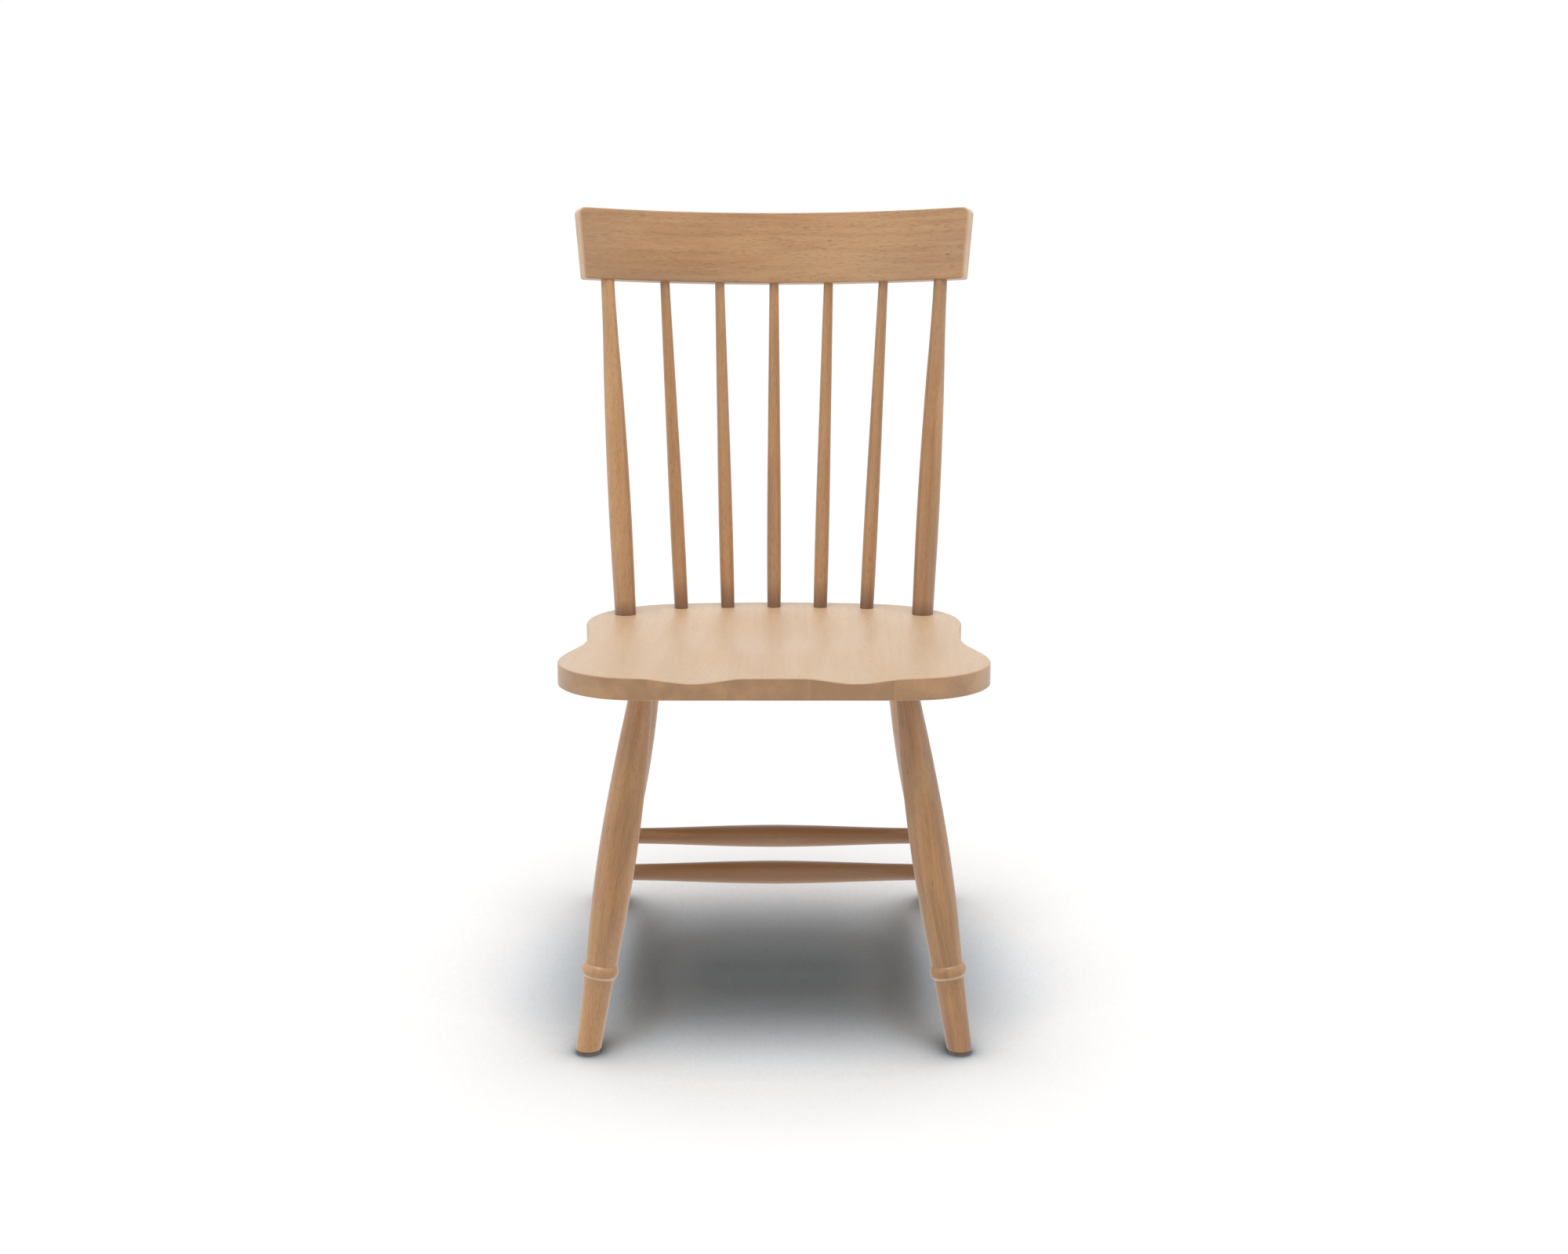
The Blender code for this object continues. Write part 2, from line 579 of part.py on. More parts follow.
def make_seat(sockets):
    """The saddled seat: rings from the centre of the top to the outline, an eased edge all round,
    and a flat underside, with its sockets bored."""
    outline = seat_outline()
    centre = np.array((0.0, SEAT_CENTRE_SHARE * SEAT_DEPTH))
    eased = inset(outline, SEAT_ARRIS)
    rows = [centre + (eased - centre) * share for share in SEAT_RING_SHARES] + [eased, outline]
    drops = [0.0] * (len(rows) - 1) + [SEAT_ARRIS]
    rings = [np.column_stack((row, rim_height(row[:, 1]) - saddling(row[:, 0], row[:, 1]) - drop))
             for row, drop in zip(rows, drops)]
    for row, rise in ((outline, SEAT_ARRIS), (eased, 0.0)):
        rings.append(np.column_stack((row, rim_height(row[:, 1]) - SEAT_THICKNESS + rise)))
    bm = bmesh.new()
    made_rings = [[bm.verts.new(point) for point in ring] for ring in rings]
    for inner, outer in zip(made_rings, made_rings[1:]):
        bridge(bm, inner, outer)
    crown = bm.verts.new((*centre, rim_height(centre[1]) - saddling(*centre)))
    first = made_rings[0]
    for i in range(len(first)):
        bm.faces.new((crown, first[i], first[(i + 1) % len(first)]))
    bm.faces.new(made_rings[-1])
    made = new_object("seat", bm, (0.0, 0.0, SEAT_FRONT_HEIGHT), WOOD_FINISHES["seat"])
    return [made, bore(made, "seat_bores", sockets)]


def rounded_corner(corner, before, after, radius):
    """Points of the arc that rounds a corner between the directions to its two neighbours."""
    to_before, to_after = unit(before - corner), unit(after - corner)
    half = math.acos(np.dot(to_before, to_after)) / 2
    centre = corner + unit(to_before + to_after) * radius / math.sin(half)
    start = corner + to_before * radius / math.tan(half) - centre
    end = corner + to_after * radius / math.tan(half) - centre
    sweep = math.pi - 2 * half
    t = (np.arange(CORNER_STEPS + 1) / CORNER_STEPS)[:, None]
    return centre + (np.sin((1 - t) * sweep) * start + np.sin(t * sweep) * end) / math.sin(sweep)


def comb_edge(rise, travel, corner_radius, shrink, middle):
    """One long edge of the comb's flat outline with both its rounded corners, left to right."""
    corner = np.array((travel, rise))
    inner = np.array((0.0, rise))
    arc = rounded_corner(corner, inner, middle, max(corner_radius - shrink, shrink))
    share = np.linspace(0.0, 1.0, COMB_SLICES // 2 + 1)[:-1, None]
    right = np.vstack((inner + (arc[0] - inner) * share, arc, middle))
    left = right[:0:-1] * (-1, 1)
    return np.vstack((left, right))


def comb_face(shrink):
    """The comb's lower and upper edges, as travel and rise, with the outline shrunk all round."""
    base_travel = comb_travel(COMB_BASE_WIDTH / 2)
    top_travel = comb_travel(COMB_TOP_WIDTH / 2)
    flare = (top_travel - base_travel) / COMB_RISE
    low, high = shrink, COMB_RISE - shrink
    side = shrink * math.hypot(1.0, flare)
    middle = np.array((base_travel + flare * COMB_RISE / 2 - side, COMB_RISE / 2))
    lower = comb_edge(low, base_travel + flare * low - side, COMB_BASE_CORNER, shrink, middle)
    upper = comb_edge(high, base_travel + flare * high - side, COMB_TOP_CORNER, shrink, middle)
    return lower, upper


def make_comb(sockets):
    """The bent comb rail with eased edges, and the spindle sockets in its lower edge."""
    half = COMB_THICKNESS / 2
    layers = ((-half, COMB_ARRIS), (COMB_ARRIS - half, 0.0), (half - COMB_ARRIS, 0.0), (half, COMB_ARRIS))
    bm = bmesh.new()
    loops, faces = [], []
    for depth, shrink in layers:
        lower, upper = comb_face(shrink)
        low = [bm.verts.new(comb_point(travel, rise, depth)) for travel, rise in lower]
        high = [bm.verts.new(comb_point(travel, rise, depth)) for travel, rise in upper[1:-1]]
        loops.append(low + high[::-1])
        faces.append((low, [low[0]] + high + [low[-1]]))
    for lower_loop, upper_loop in zip(loops, loops[1:]):
        bridge(bm, lower_loop, upper_loop)
    for low, high in (faces[0], faces[-1]):
        for i in range(len(low) - 1):
            corners = (low[i], low[i + 1], high[i + 1], high[i])
            bm.faces.new(list(dict.fromkeys(corners)))
    origin = comb_point(0.0, 0.0, 0.0)
    made = new_object("comb_rail", bm, origin, WOOD_FINISHES["comb"])
    return [made, bore(made, "comb_bores", sockets)]


def stand_on_origin(objects):
    """Hangs every piece on one empty, placed so that the origin is under the chair's middle."""
    setbacks = [piece.location.y + corner.co.y
                for piece in objects if not piece.hide_render for corner in piece.data.vertices]
    frame = bpy.data.objects.new("chair_frame", None)
    bpy.context.collection.objects.link(frame)
    frame.location.y = -(min(setbacks) + max(setbacks)) / 2
    for piece in objects:
        piece.parent = frame


def main():
    for existing in list(bpy.data.objects):
        bpy.data.objects.remove(existing, do_unlink=True)
    sticks, seat_sockets, comb_sockets = make_back_sticks()
    under_frame, leg_sockets = make_under_frame()
    seat = make_seat(seat_sockets + leg_sockets)
    comb = make_comb(comb_sockets)
    stand_on_origin(seat + comb + sticks + under_frame)


main()
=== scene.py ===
"""A Windsor side chair in satin-lacquered light hardwood, on a white studio floor.
Lengths are in metres unless a name says mm. Every curved piece is a surface worked out on a grid,
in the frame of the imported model: +Z up, -Y to the front, the origin on the floor."""
import math

import bmesh
import bpy
import numpy as np
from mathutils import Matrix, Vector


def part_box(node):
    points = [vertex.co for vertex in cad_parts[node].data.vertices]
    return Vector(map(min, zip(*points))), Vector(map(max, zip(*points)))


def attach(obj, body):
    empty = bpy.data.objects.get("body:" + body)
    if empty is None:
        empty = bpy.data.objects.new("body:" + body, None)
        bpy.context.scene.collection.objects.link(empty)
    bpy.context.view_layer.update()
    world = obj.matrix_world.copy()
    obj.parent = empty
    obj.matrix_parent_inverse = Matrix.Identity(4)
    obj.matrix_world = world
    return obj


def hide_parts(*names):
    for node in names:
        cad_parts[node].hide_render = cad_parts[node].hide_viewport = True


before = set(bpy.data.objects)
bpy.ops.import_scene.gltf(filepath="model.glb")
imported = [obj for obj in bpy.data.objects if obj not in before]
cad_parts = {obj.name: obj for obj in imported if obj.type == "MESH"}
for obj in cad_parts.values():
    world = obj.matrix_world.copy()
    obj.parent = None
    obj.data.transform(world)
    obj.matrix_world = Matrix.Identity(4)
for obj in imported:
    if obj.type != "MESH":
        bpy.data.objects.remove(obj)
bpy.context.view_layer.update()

# Where the seat's front edge stands, from the solids. A setback is a distance behind it.
FRONT_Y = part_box("seat")[0][1]

# Seat
SEAT_WIDTH = 0.4939
SEAT_DEPTH = 0.440
SEAT_THICKNESS = 0.026
SEAT_FRONT_HEIGHT = 0.4587
SEAT_FALL = 0.0167
SEAT_ARRIS = 0.0018
SEAT_CENTRE_SHARE = 0.52
SIDE_CUT = 0.65
SEAT_OUTLINE_SHARES = (
    (0.00, 0.000), (0.25, 0.000), (0.48, 0.000), (0.66, 0.003), (0.78, 0.020), (0.87, 0.053),
    (0.928, 0.088), (0.966, 0.124), (0.990, 0.160), (1.000, 0.200), (0.998, 0.243), (0.977, 0.301),
    (0.942, 0.360), (0.910, 0.420), (0.897, 0.480), (0.898, 0.550), (0.912, 0.630), (0.925, 0.710),
    (0.910, 0.781), (0.862, 0.848), (0.780, 0.903), (0.665, 0.950), (0.510, 0.978), (0.350, 0.991),
    (0.180, 0.998), (0.00, 1.000),
)
BOWL_DEPTH = 0.0080
BOWL_WIDTH = 0.330
BOWL_FRONT = 0.115
BOWL_TO_SPINDLES = 0.012
THIGH_HOLLOW_DEPTH = 0.0060
THIGH_HOLLOW_WIDTH = 0.125
THIGH_HOLLOW_SPACING = 0.182
THIGH_HOLLOW_LENGTH = 0.230
THIGH_HOLLOW_DRAW_IN = 0.030

# Comb rail
COMB_ABOVE_SEAT = 0.3803
COMB_BEHIND_SEAT = 0.0506
COMB_LEAN = 14.0
COMB_BEND_RADIUS = 0.620
COMB_TOP_WIDTH = 0.4950
COMB_BASE_WIDTH = 0.4786
COMB_RISE = 0.08745
COMB_THICKNESS = 0.020
COMB_TOP_CORNER = 0.0075
COMB_BASE_CORNER = 0.0035
COMB_ARRIS = 0.0015

# How far before the end of the comb's lower edge its cut end begins to show
COMB_END_FADE = 0.004

# Spindles and posts: places are shares of half the seat's width and of half the comb's lower width
SPINDLE_INSET = 0.029
SPINDLE_PLACE_SHARES = {
    "centre_spindle": (0.0, 0.0),
    "inner_spindle": (0.235, 0.2835),
    "outer_spindle": (0.470, 0.568),
    "back_post": (0.745, 0.8604),
}
SPINDLE_DIAMETER = 0.0177
POST_DIAMETER = 0.0280
SPINDLE_GIRTH_SHARES = (
    (0.00, 0.955), (0.07, 0.985), (0.16, 1.000), (0.28, 0.985), (0.41, 0.945), (0.55, 0.875),
    (0.70, 0.810), (0.85, 0.735), (1.00, 0.660),
)
POST_GIRTH_SHARES = (
    (0.00, 0.930), (0.10, 0.965), (0.28, 1.000), (0.42, 0.975), (0.56, 0.910), (0.70, 0.812),
    (0.84, 0.676), (0.93, 0.617), (1.00, 0.595),
)

# Legs
LEG_GIRTH_SHARES = (
    (0.000, 0.656), (0.045, 0.670), (0.10, 0.702), (0.15, 0.745), (0.20, 0.790), (0.25, 0.835),
    (0.30, 0.880), (0.36, 0.938), (0.44, 0.982), (0.53, 1.000), (0.61, 0.984), (0.68, 0.948),
    (0.75, 0.890), (0.81, 0.833), (0.87, 0.762), (0.94, 0.665), (1.00, 0.590),
)
LEG_DIAMETER = 0.0442
FRONT_LEG = {"side_inset": 0.0975, "setback": 0.075, "splay": 8.8, "rake": -5.2}
REAR_LEG = {"side_inset": 0.0975, "setback": SEAT_DEPTH - 0.070, "splay": 9.5, "rake": 26.0}
FOOT_ROUND = 0.0028
RING_PLACE_SHARE = 0.2205
RING_DIAMETER = 0.0424
RING_HEIGHT = 0.0165

# Stretchers
STRETCHER_GIRTH_SHARES = (
    (0.00, 0.690), (0.10, 0.740), (0.22, 0.835), (0.36, 0.945), (0.50, 1.000), (0.64, 0.945),
    (0.78, 0.835), (0.90, 0.740), (1.00, 0.690),
)
STRETCHER_HEIGHT = 0.166
SIDE_STRETCHER_DIAMETER = 0.0290
CROSS_STRETCHER_DIAMETER = 0.0279
CROSS_STRETCHER_SHARES = {"front": 0.325, "rear": 0.640}

# Glides
GLIDE_DIAMETER = 0.0265
GLIDE_THICKNESS = 0.0045
GLIDE_EASE = 0.0009
GLIDE_HOLE_RADIUS = 0.0038
GLIDE_HOLE_DEPTH = 0.0023

# How far up the foot of a spindle or post a painted shade reaches, and how dark the painted
# shade is on the seat's and the comb's arrises
SPINDLE_PAINTED_SHADE = 0.034
POST_PAINTED_SHADE = 0.018
SEAT_ARRIS_PAINTED_SHADE = 0.15
COMB_ARRIS_PAINTED_SHADE = 0.35

# A pale line painted round each ring just above its lower arris: half its width, and how far its
# middle stands above the arris
PALE_LINE_HALF_WIDTH = 0.0030
PALE_LINE_RISE = 0.0024

# Painted light and shade on single pieces, as a shift of the wood's tone: below zero is darker.
# The stretchers are painted darker as in the seat's shade, and the right front leg and right back
# post darker and the left back post paler, as under light from the left.
PAINTED_LIGHT_TONES = {
    "back_post_left": 0.08,
    "back_post_right": -0.08,
    "front_leg_right": -0.18,
    "side_stretcher_left": -0.12,
    "side_stretcher_right": -0.12,
    "cross_stretcher_front": -0.42,
    "cross_stretcher_rear": -0.31,
}

# How far a shoulder is let into what carries it, which closes the joint to the eye
LET_IN = 0.0010

# Where the comb's board lies in the tree, in mm, and how the turned pieces' places are drawn:
# the seed, how many there are, how far from the heart they lie, and how long the tree is
COMB_IN_TREE = (79.0, 106.0, 3556.0)
TREE_SEED = 7
TURNED_PIECES = 15
HEART_DISTANCE_MM = (70, 160)
TREE_LENGTH_MM = 4000

# Patterns in the wood: how wide and how long each one is in mm, and how many finer octaves it has.
# Real pores are a tenth of a millimetre wide: they are drawn as coarse as they need to show.
WOOD_PATTERNS = {
    "streaks": (7.0, 150.0, 4.0),
    "fibres": (1.3, 36.0, 2.0),
    "clouds": (42.0, 200.0, 2.0),
    "greying": (70.0, 150.0, 1.0),
    "pore_rows": (7.0, 130.0, 1.0),
    "pores": (0.8, 9.0, 1.0),
    "cut_growth": (34.0, 60.0, 3.0),
    "cut_pores": (1.1, 1.1, 1.0),
}

# How wide the grain's wander is, how far it sways, and its width as a share of its length
GRAIN_WANDER_MM = 55
GRAIN_SWAY_MM = 14
WANDER_STRETCH = 0.22

# Growth rings: how wide one is, its width as a share of how far it runs, and how far apart the
# wave texture's bands are at a scale of one
GROWTH_RING_MM = 8.5
RING_STRETCH = 0.02
WAVE_BAND = 2 * math.pi / 20

# The values of the patterns between which they take effect
TONE_STOPS = (0.22, 0.50, 0.78)
CUT_STOPS = (0.49, 0.81)
GREY_RANGE = (0.42, 0.68)
PORE_RANGE = (0.68, 0.80)
MARK_RANGE = (0.35, 1.0)
MIDDLE_RANGE = (0.3, 0.7)

# How much rows of pores add to the pores, pores to a cut end, and a board's tone to its cut end
PORE_ROW_SHARE = 0.24
CUT_PORE_SHARE = 0.30
CUT_TONE_SHARE = 1.6

# The colours of grey patches, pores and marks, how much of a cut end shows, and how much the
# painted shade at stick feet and arrises and the pale line round the rings cover the wood, and in
# what colour
GREY_COLOUR = "#a8927a"
PORE_COLOUR = "#6b4529"
MARK_COLOUR = "#5b4030"
END_GRAIN_COVER = 0.90
COVERS = {"gathered": (0.84, "#5e3200"), "pale_line": (0.50, "#efcda6")}

# Finishes: one index for wood, lacquer and plastic, ranges of roughness, and the depths of pores
# (twice the fibres' own), and of the plastic's pebbled skin
POLYMER_IOR = 1.5
WOOD_ROUGHNESS = (0.44, 0.56)
COAT_ROUGHNESS = 0.43
PORE_DEPTH = 0.000125
PORE_RELIEF = -2.0
WOOD_BUMP = 0.22
PLASTIC_ROUGHNESS = (0.55, 0.75)
PEBBLE_MM = 0.7
PEBBLE_DEPTH = 0.0002
PLASTIC_BUMP = 0.20
SCUFF_MM = 6.0
STEEL_ROUGHNESS = (0.25, 0.45)
SCRATCH_SPACING = 0.0004

# The seat's boards, left to right: where each begins as a share of the width, where it was cut
# from the tree as two shares of BOARD_JUMP_MM, its tone, and the tone of its cut edge. A tone of
# NO_SHIFT leaves the wood as it is.
NO_SHIFT = 0.5
SEAT_BOARDS = (
    (0.000, 0.51, 0.73, 0.50, 0.450),
    (0.212, 0.37, 0.18, 0.51, 0.475),
    (0.392, 0.92, 0.20, 0.46, 0.450),
    (0.582, 0.60, 0.89, 0.52, 0.400),
    (0.769, 0.45, 0.67, 0.46, 0.490),
)
BOARD_JUMP_MM = (900.0, 400.0, 0.0)

# Studio: how much light the lit floor and the surround give, and how bright the floor is in a
# reflection
WHITE = "#ffffff"
FLOOR_BOUNCE = 0.92
FLOOR_MIRRORED = 0.95
SURROUND_LIGHT = 0.10
FLOOR_REACH = 30.0

# The floor's shade: how far off the chair tells, the openness at which the shade is full, the
# colour there, and the cooler patch under the seat: where it lies, how far it reaches, and how
# near its middle it is full
OPENNESS_REACH = 0.4
FULL_SHADE_OPENNESS = 0.65
SHADE_COLOUR = "#8c959c"
PATCH_CENTRE = (0.0, -0.014, 0.0)
PATCH_REACH = (0.375, 0.340, 1.0)
FULL_PATCH = 0.79
PATCH_COLOUR = "#d5e8f7"

# The lamps: bearing, elevation, level, spread, and whether each lights only the floor (INCLUDE)
# or all but the floor. Three wide ones light the floor, so that the shadow is as soft as it is
# in the photograph, and three light the chair.
LAMPS = (
    ("overhead_softbox", -5.0, 79.0, 0.75, 45.0, "EXCLUDE"),
    ("floor_softbox", 0.0, 80.0, 0.47, 25.0, "INCLUDE"),
    ("near_floor_softbox", 0.0, 70.0, 0.36, 40.0, "INCLUDE"),
    ("far_floor_softbox", 180.0, 70.0, 0.152, 40.0, "INCLUDE"),
    ("left_softbox", -75.0, 18.0, 0.260, 80.0, "EXCLUDE"),
    ("right_softbox", 82.0, 18.0, 0.240, 80.0, "EXCLUDE"),
)

# Camera
CAMERA_TO_SEAT = 2.880
CAMERA_HEIGHT = 1.2226
CAMERA_PITCH = 13.76
CAMERA_LENS_MM = 61.8
CAMERA_SENSOR_MM = 36.0
CAMERA_SHIFT = 0.00635
CAMERA_REACH = 200.0

# Grid counts
OUTLINE_POINTS = 352
SEAT_TOP_ROWS = 58
SEAT_EDGE_ROWS = 9
SEAT_UNDER_ROWS = 14
COMB_COLUMNS = 150
COMB_FACE_ROWS = 26
COMB_EDGE_ROWS = 7
COMB_END_ROWS = 5
STICK_ROWS = 130
STICK_SIDES = 48
LEG_SIDES = 72
RING_ROWS = 33
EASE_STEPS = 7
CURVE_STEPS = 12
CREASE_ANGLE = 30.0

# The seat's smallest rings on top and underneath, as places on a quarter of a sine wave
SEAT_TOP_FIRST = 0.012
SEAT_UNDER_LAST = 0.05

# The share of a turned piece's length over which its rows lean to its scribed end, and the share
# of a leg's length that is left between the ring's rows and the others
LEAN_SHARE = 0.12
RING_GAP_SHARE = 0.002

X_AXIS = np.array((1.0, 0.0, 0.0))
Z_AXIS = np.array((0.0, 0.0, 1.0))
SIDES = {"left": -1, "right": 1}


def unit(vector):
    """The vector at a length of one."""
    return np.asarray(vector) / np.linalg.norm(vector)


def through_points(points, closed):
    """A smooth curve through points: cubic pieces whose slope at each point is the mean of the
    chords on both sides of it, weighted to the nearer neighbour."""
    points = np.asarray(points, dtype=float)
    if closed:
        around = np.vstack((points[-1:], points, points[:2]))
    else:
        around = np.vstack((2 * points[:1] - points[1:2], points, 2 * points[-1:] - points[-2:-1]))
    chord = np.diff(around, axis=0)
    length = np.linalg.norm(chord, axis=1)[:, None]
    slope = chord / length
    tangent = (slope[:-1] * length[1:] + slope[1:] * length[:-1]) / (length[1:] + length[:-1])
    pieces = len(points) if closed else len(points) - 1
    i = np.arange(pieces)
    t = (np.arange(CURVE_STEPS) / CURVE_STEPS)[None, :, None]
    start, end = around[i + 1][:, None], around[i + 2][:, None]
    leave = (tangent[i] * length[i + 1])[:, None]
    arrive = (tangent[(i + 1) % len(tangent)] * length[i + 1])[:, None]
    curve = ((2 * t**3 - 3 * t**2 + 1) * start + (t**3 - 2 * t**2 + t) * leave
             + (3 * t**2 - 2 * t**3) * end + (t**3 - t**2) * arrive).reshape(-1, 2)
    return curve if closed else np.vstack((curve, points[-1:]))


def girth(shares, diameter, places):
    """Radii of a turned profile at the given shares of its length, held beyond its ends."""
    curve = through_points(shares, closed=False)
    return np.interp(places, curve[:, 0], curve[:, 1]) * diameter / 2


def eased_spacing(count):
    """Places from 0 to 1 that crowd at both ends, as half a cosine wave, so that a flat stays flat
    right up to the round beside it."""
    return (1 - np.cos(np.linspace(0, math.pi, count))) / 2


def make_piece(name, points, faces, grain, shares, finish, node):
    """Puts a surface into a closed mesh and lets it stand for its solid. grain is each point's
    place in the tree in mm: two directions across, then along. shares holds the wood's other
    attributes: end_grain, how squarely the fibres are cut there, then how dark a painted shade is
    at the foot of a stick or on an arris, and how strong the pale line round a ring is, each from
    0 to 1, and tone, how much paler a piece is painted, which stands in for light and shade."""
    mesh = bpy.data.meshes.new(name)
    mesh.from_pydata(points.tolist(), [], faces)
    place = mesh.attributes.new("grain", "FLOAT_VECTOR", "POINT")
    place.data.foreach_set("vector", np.asarray(grain, dtype=np.float32).ravel())
    for key, values in shares.items():
        share = mesh.attributes.new(key, "FLOAT", "POINT")
        share.data.foreach_set("value", np.broadcast_to(values, len(points)).astype(np.float32))
    bm = bmesh.new()
    bm.from_mesh(mesh)
    bmesh.ops.remove_doubles(bm, verts=bm.verts, dist=1e-6)
    bmesh.ops.recalc_face_normals(bm, faces=bm.faces)
    bm.to_mesh(mesh)
    bm.free()
    mesh.shade_smooth()
    mesh.set_sharp_from_angle(angle=math.radians(CREASE_ANGLE))
    mesh.materials.append(finish)
    piece = bpy.data.objects.new(name, mesh)
    bpy.context.collection.objects.link(piece)
    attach(piece, "root")
    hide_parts(node)


def tube_faces(rows, columns, capped=True):
    """Quads between rows of points that close round on themselves, and fans to the two last
    points, which are the middles of the ends."""
    i, j = np.meshgrid(np.arange(rows - 1), np.arange(columns), indexing="ij")
    k = (j + 1) % columns
    here, above = i * columns, (i + 1) * columns
    faces = np.stack((here + j, here + k, above + k, above + j), -1).reshape(-1, 4).tolist()
    if capped:
        j = np.arange(columns)
        k = (j + 1) % columns
        low, high = np.full(columns, rows * columns), np.full(columns, rows * columns + 1)
        faces += np.stack((low, k, j), -1).tolist()
        faces += np.stack((high, (rows - 1) * columns + j, (rows - 1) * columns + k), -1).tolist()
    return faces


# Shape of the seat

def seat_outline():
    """The seat's outline as even points, anticlockwise from the middle of the front edge: x, and
    the setback."""
    half = np.array(SEAT_OUTLINE_SHARES) * (SEAT_WIDTH / 2, SEAT_DEPTH)
    fine = through_points(np.vstack((half, half[-2:0:-1] * (-1, 1))), closed=True)
    fine[:, 0] *= SEAT_WIDTH / np.ptp(fine[:, 0])
    fine[:, 1] = (fine[:, 1] - fine[:, 1].min()) * SEAT_DEPTH / np.ptp(fine[:, 1])
    ring = np.vstack((fine, fine[:1]))
    travel = np.concatenate(([0.0], np.cumsum(np.linalg.norm(np.diff(ring, axis=0), axis=1))))
    places = np.arange(OUTLINE_POINTS) * travel[-1] / OUTLINE_POINTS
    return np.column_stack([np.interp(places, travel, ring[:, k]) for k in (0, 1)])


def inward_of(outline):
    """The inward normals of an anticlockwise outline."""
    along = np.roll(outline, -1, axis=0) - np.roll(outline, 1, axis=0)
    return np.column_stack((-along[:, 1], along[:, 0])) / np.linalg.norm(along, axis=1)[:, None]


def rim_height(setback):
    """Height of the seat's flat rim."""
    return SEAT_FRONT_HEIGHT - SEAT_FALL * setback / SEAT_DEPTH


def hump(distance):
    """A smooth rise that is one at zero and falls to nothing at a distance of one."""
    return np.cos(np.clip(np.abs(distance), 0, 1) * math.pi / 2) ** 2


def saddling(x, setback):
    """Depth below the rim: a shallow round bowl, and two thigh hollows that run out in front."""
    bowl_back = SEAT_DEPTH - SPINDLE_INSET - BOWL_TO_SPINDLES
    middle, reach = (BOWL_FRONT + bowl_back) / 2, (bowl_back - BOWL_FRONT) / 2
    radius = np.hypot(x / (BOWL_WIDTH / 2), (setback - middle) / reach)
    bowl = BOWL_DEPTH * np.clip(1 - radius**2, 0, None) ** 2
    run = np.clip(setback / THIGH_HOLLOW_LENGTH, 0, 1)
    centre = THIGH_HOLLOW_SPACING / 2 - THIGH_HOLLOW_DRAW_IN * run
    thigh = hump((np.abs(x) - centre) / (THIGH_HOLLOW_WIDTH / 2)) * hump(run) * THIGH_HOLLOW_DEPTH
    return bowl + thigh


def make_seat(finish):
    """Rings that grow from the middle of the top to the outline, roll over a quarter round, go
    down the edge, roll under, and shrink to the middle of the underside."""
    outline = seat_outline()
    inward = inward_of(outline)
    centre = np.array((0.0, SEAT_CENTRE_SHARE * SEAT_DEPTH))
    eased = outline + inward * SEAT_ARRIS
    turn = np.linspace(0, math.pi / 2, EASE_STEPS)[1:]
    squareness = SIDE_CUT + (1 - SIDE_CUT) * np.abs(inward[:, 1])
    rows = []

    def add_row(ring, height, cut=0.0, gather=0.0):
        cut, gather = (np.broadcast_to(share, OUTLINE_POINTS) for share in (cut, gather))
        rows.append(np.column_stack((ring, height, cut, gather)))

    for share in np.sin(np.linspace(SEAT_TOP_FIRST, 1, SEAT_TOP_ROWS) * math.pi / 2):
        ring = centre + (eased - centre) * share
        add_row(ring, rim_height(ring[:, 1]) - saddling(*ring.T))
    # The top arris rolls over, with a painted shade along it
    for angle in turn:
        ring = outline + inward * SEAT_ARRIS * (1 - math.sin(angle))
        top = rim_height(ring[:, 1]) - saddling(*ring.T) - SEAT_ARRIS * (1 - math.cos(angle))
        add_row(ring, top, squareness * math.sin(angle), SEAT_ARRIS_PAINTED_SHADE * math.sin(angle))
    bottom = rim_height(outline[:, 1]) - SEAT_THICKNESS + SEAT_ARRIS
    for share in eased_spacing(SEAT_EDGE_ROWS)[1:]:
        add_row(outline, top + (bottom - top) * share, squareness)
    for angle in turn:
        ring = outline + inward * SEAT_ARRIS * (1 - math.cos(angle))
        low = rim_height(ring[:, 1]) - SEAT_THICKNESS + SEAT_ARRIS * (1 - math.sin(angle))
        add_row(ring, low, squareness * math.cos(angle))
    for share in np.sin(np.linspace(1, SEAT_UNDER_LAST, SEAT_UNDER_ROWS)[1:] * math.pi / 2):
        ring = centre + (eased - centre) * share
        add_row(ring, rim_height(ring[:, 1]) - SEAT_THICKNESS)
    rim = rim_height(centre[1])
    middles = [(*centre, height, 0.0, 0.0)
               for height in (rim - saddling(*centre), rim - SEAT_THICKNESS)]
    x, setback, z, cut, gathered = np.vstack(rows + [middles]).T
    points = np.column_stack((x, setback + FRONT_Y, z))
    grain = np.column_stack((x, z, setback)) * 1000
    make_piece("seat_panel", points, tube_faces(len(rows), OUTLINE_POINTS), grain,
               {"end_grain": cut, "gathered": gathered}, finish, "seat")


# Shape of the comb rail

def comb_axes():
    """The comb rail's backward and upward directions."""
    lean = math.radians(COMB_LEAN)
    back = np.array((0.0, math.cos(lean), -math.sin(lean)))
    up = np.array((0.0, math.sin(lean), math.cos(lean)))
    return back, up


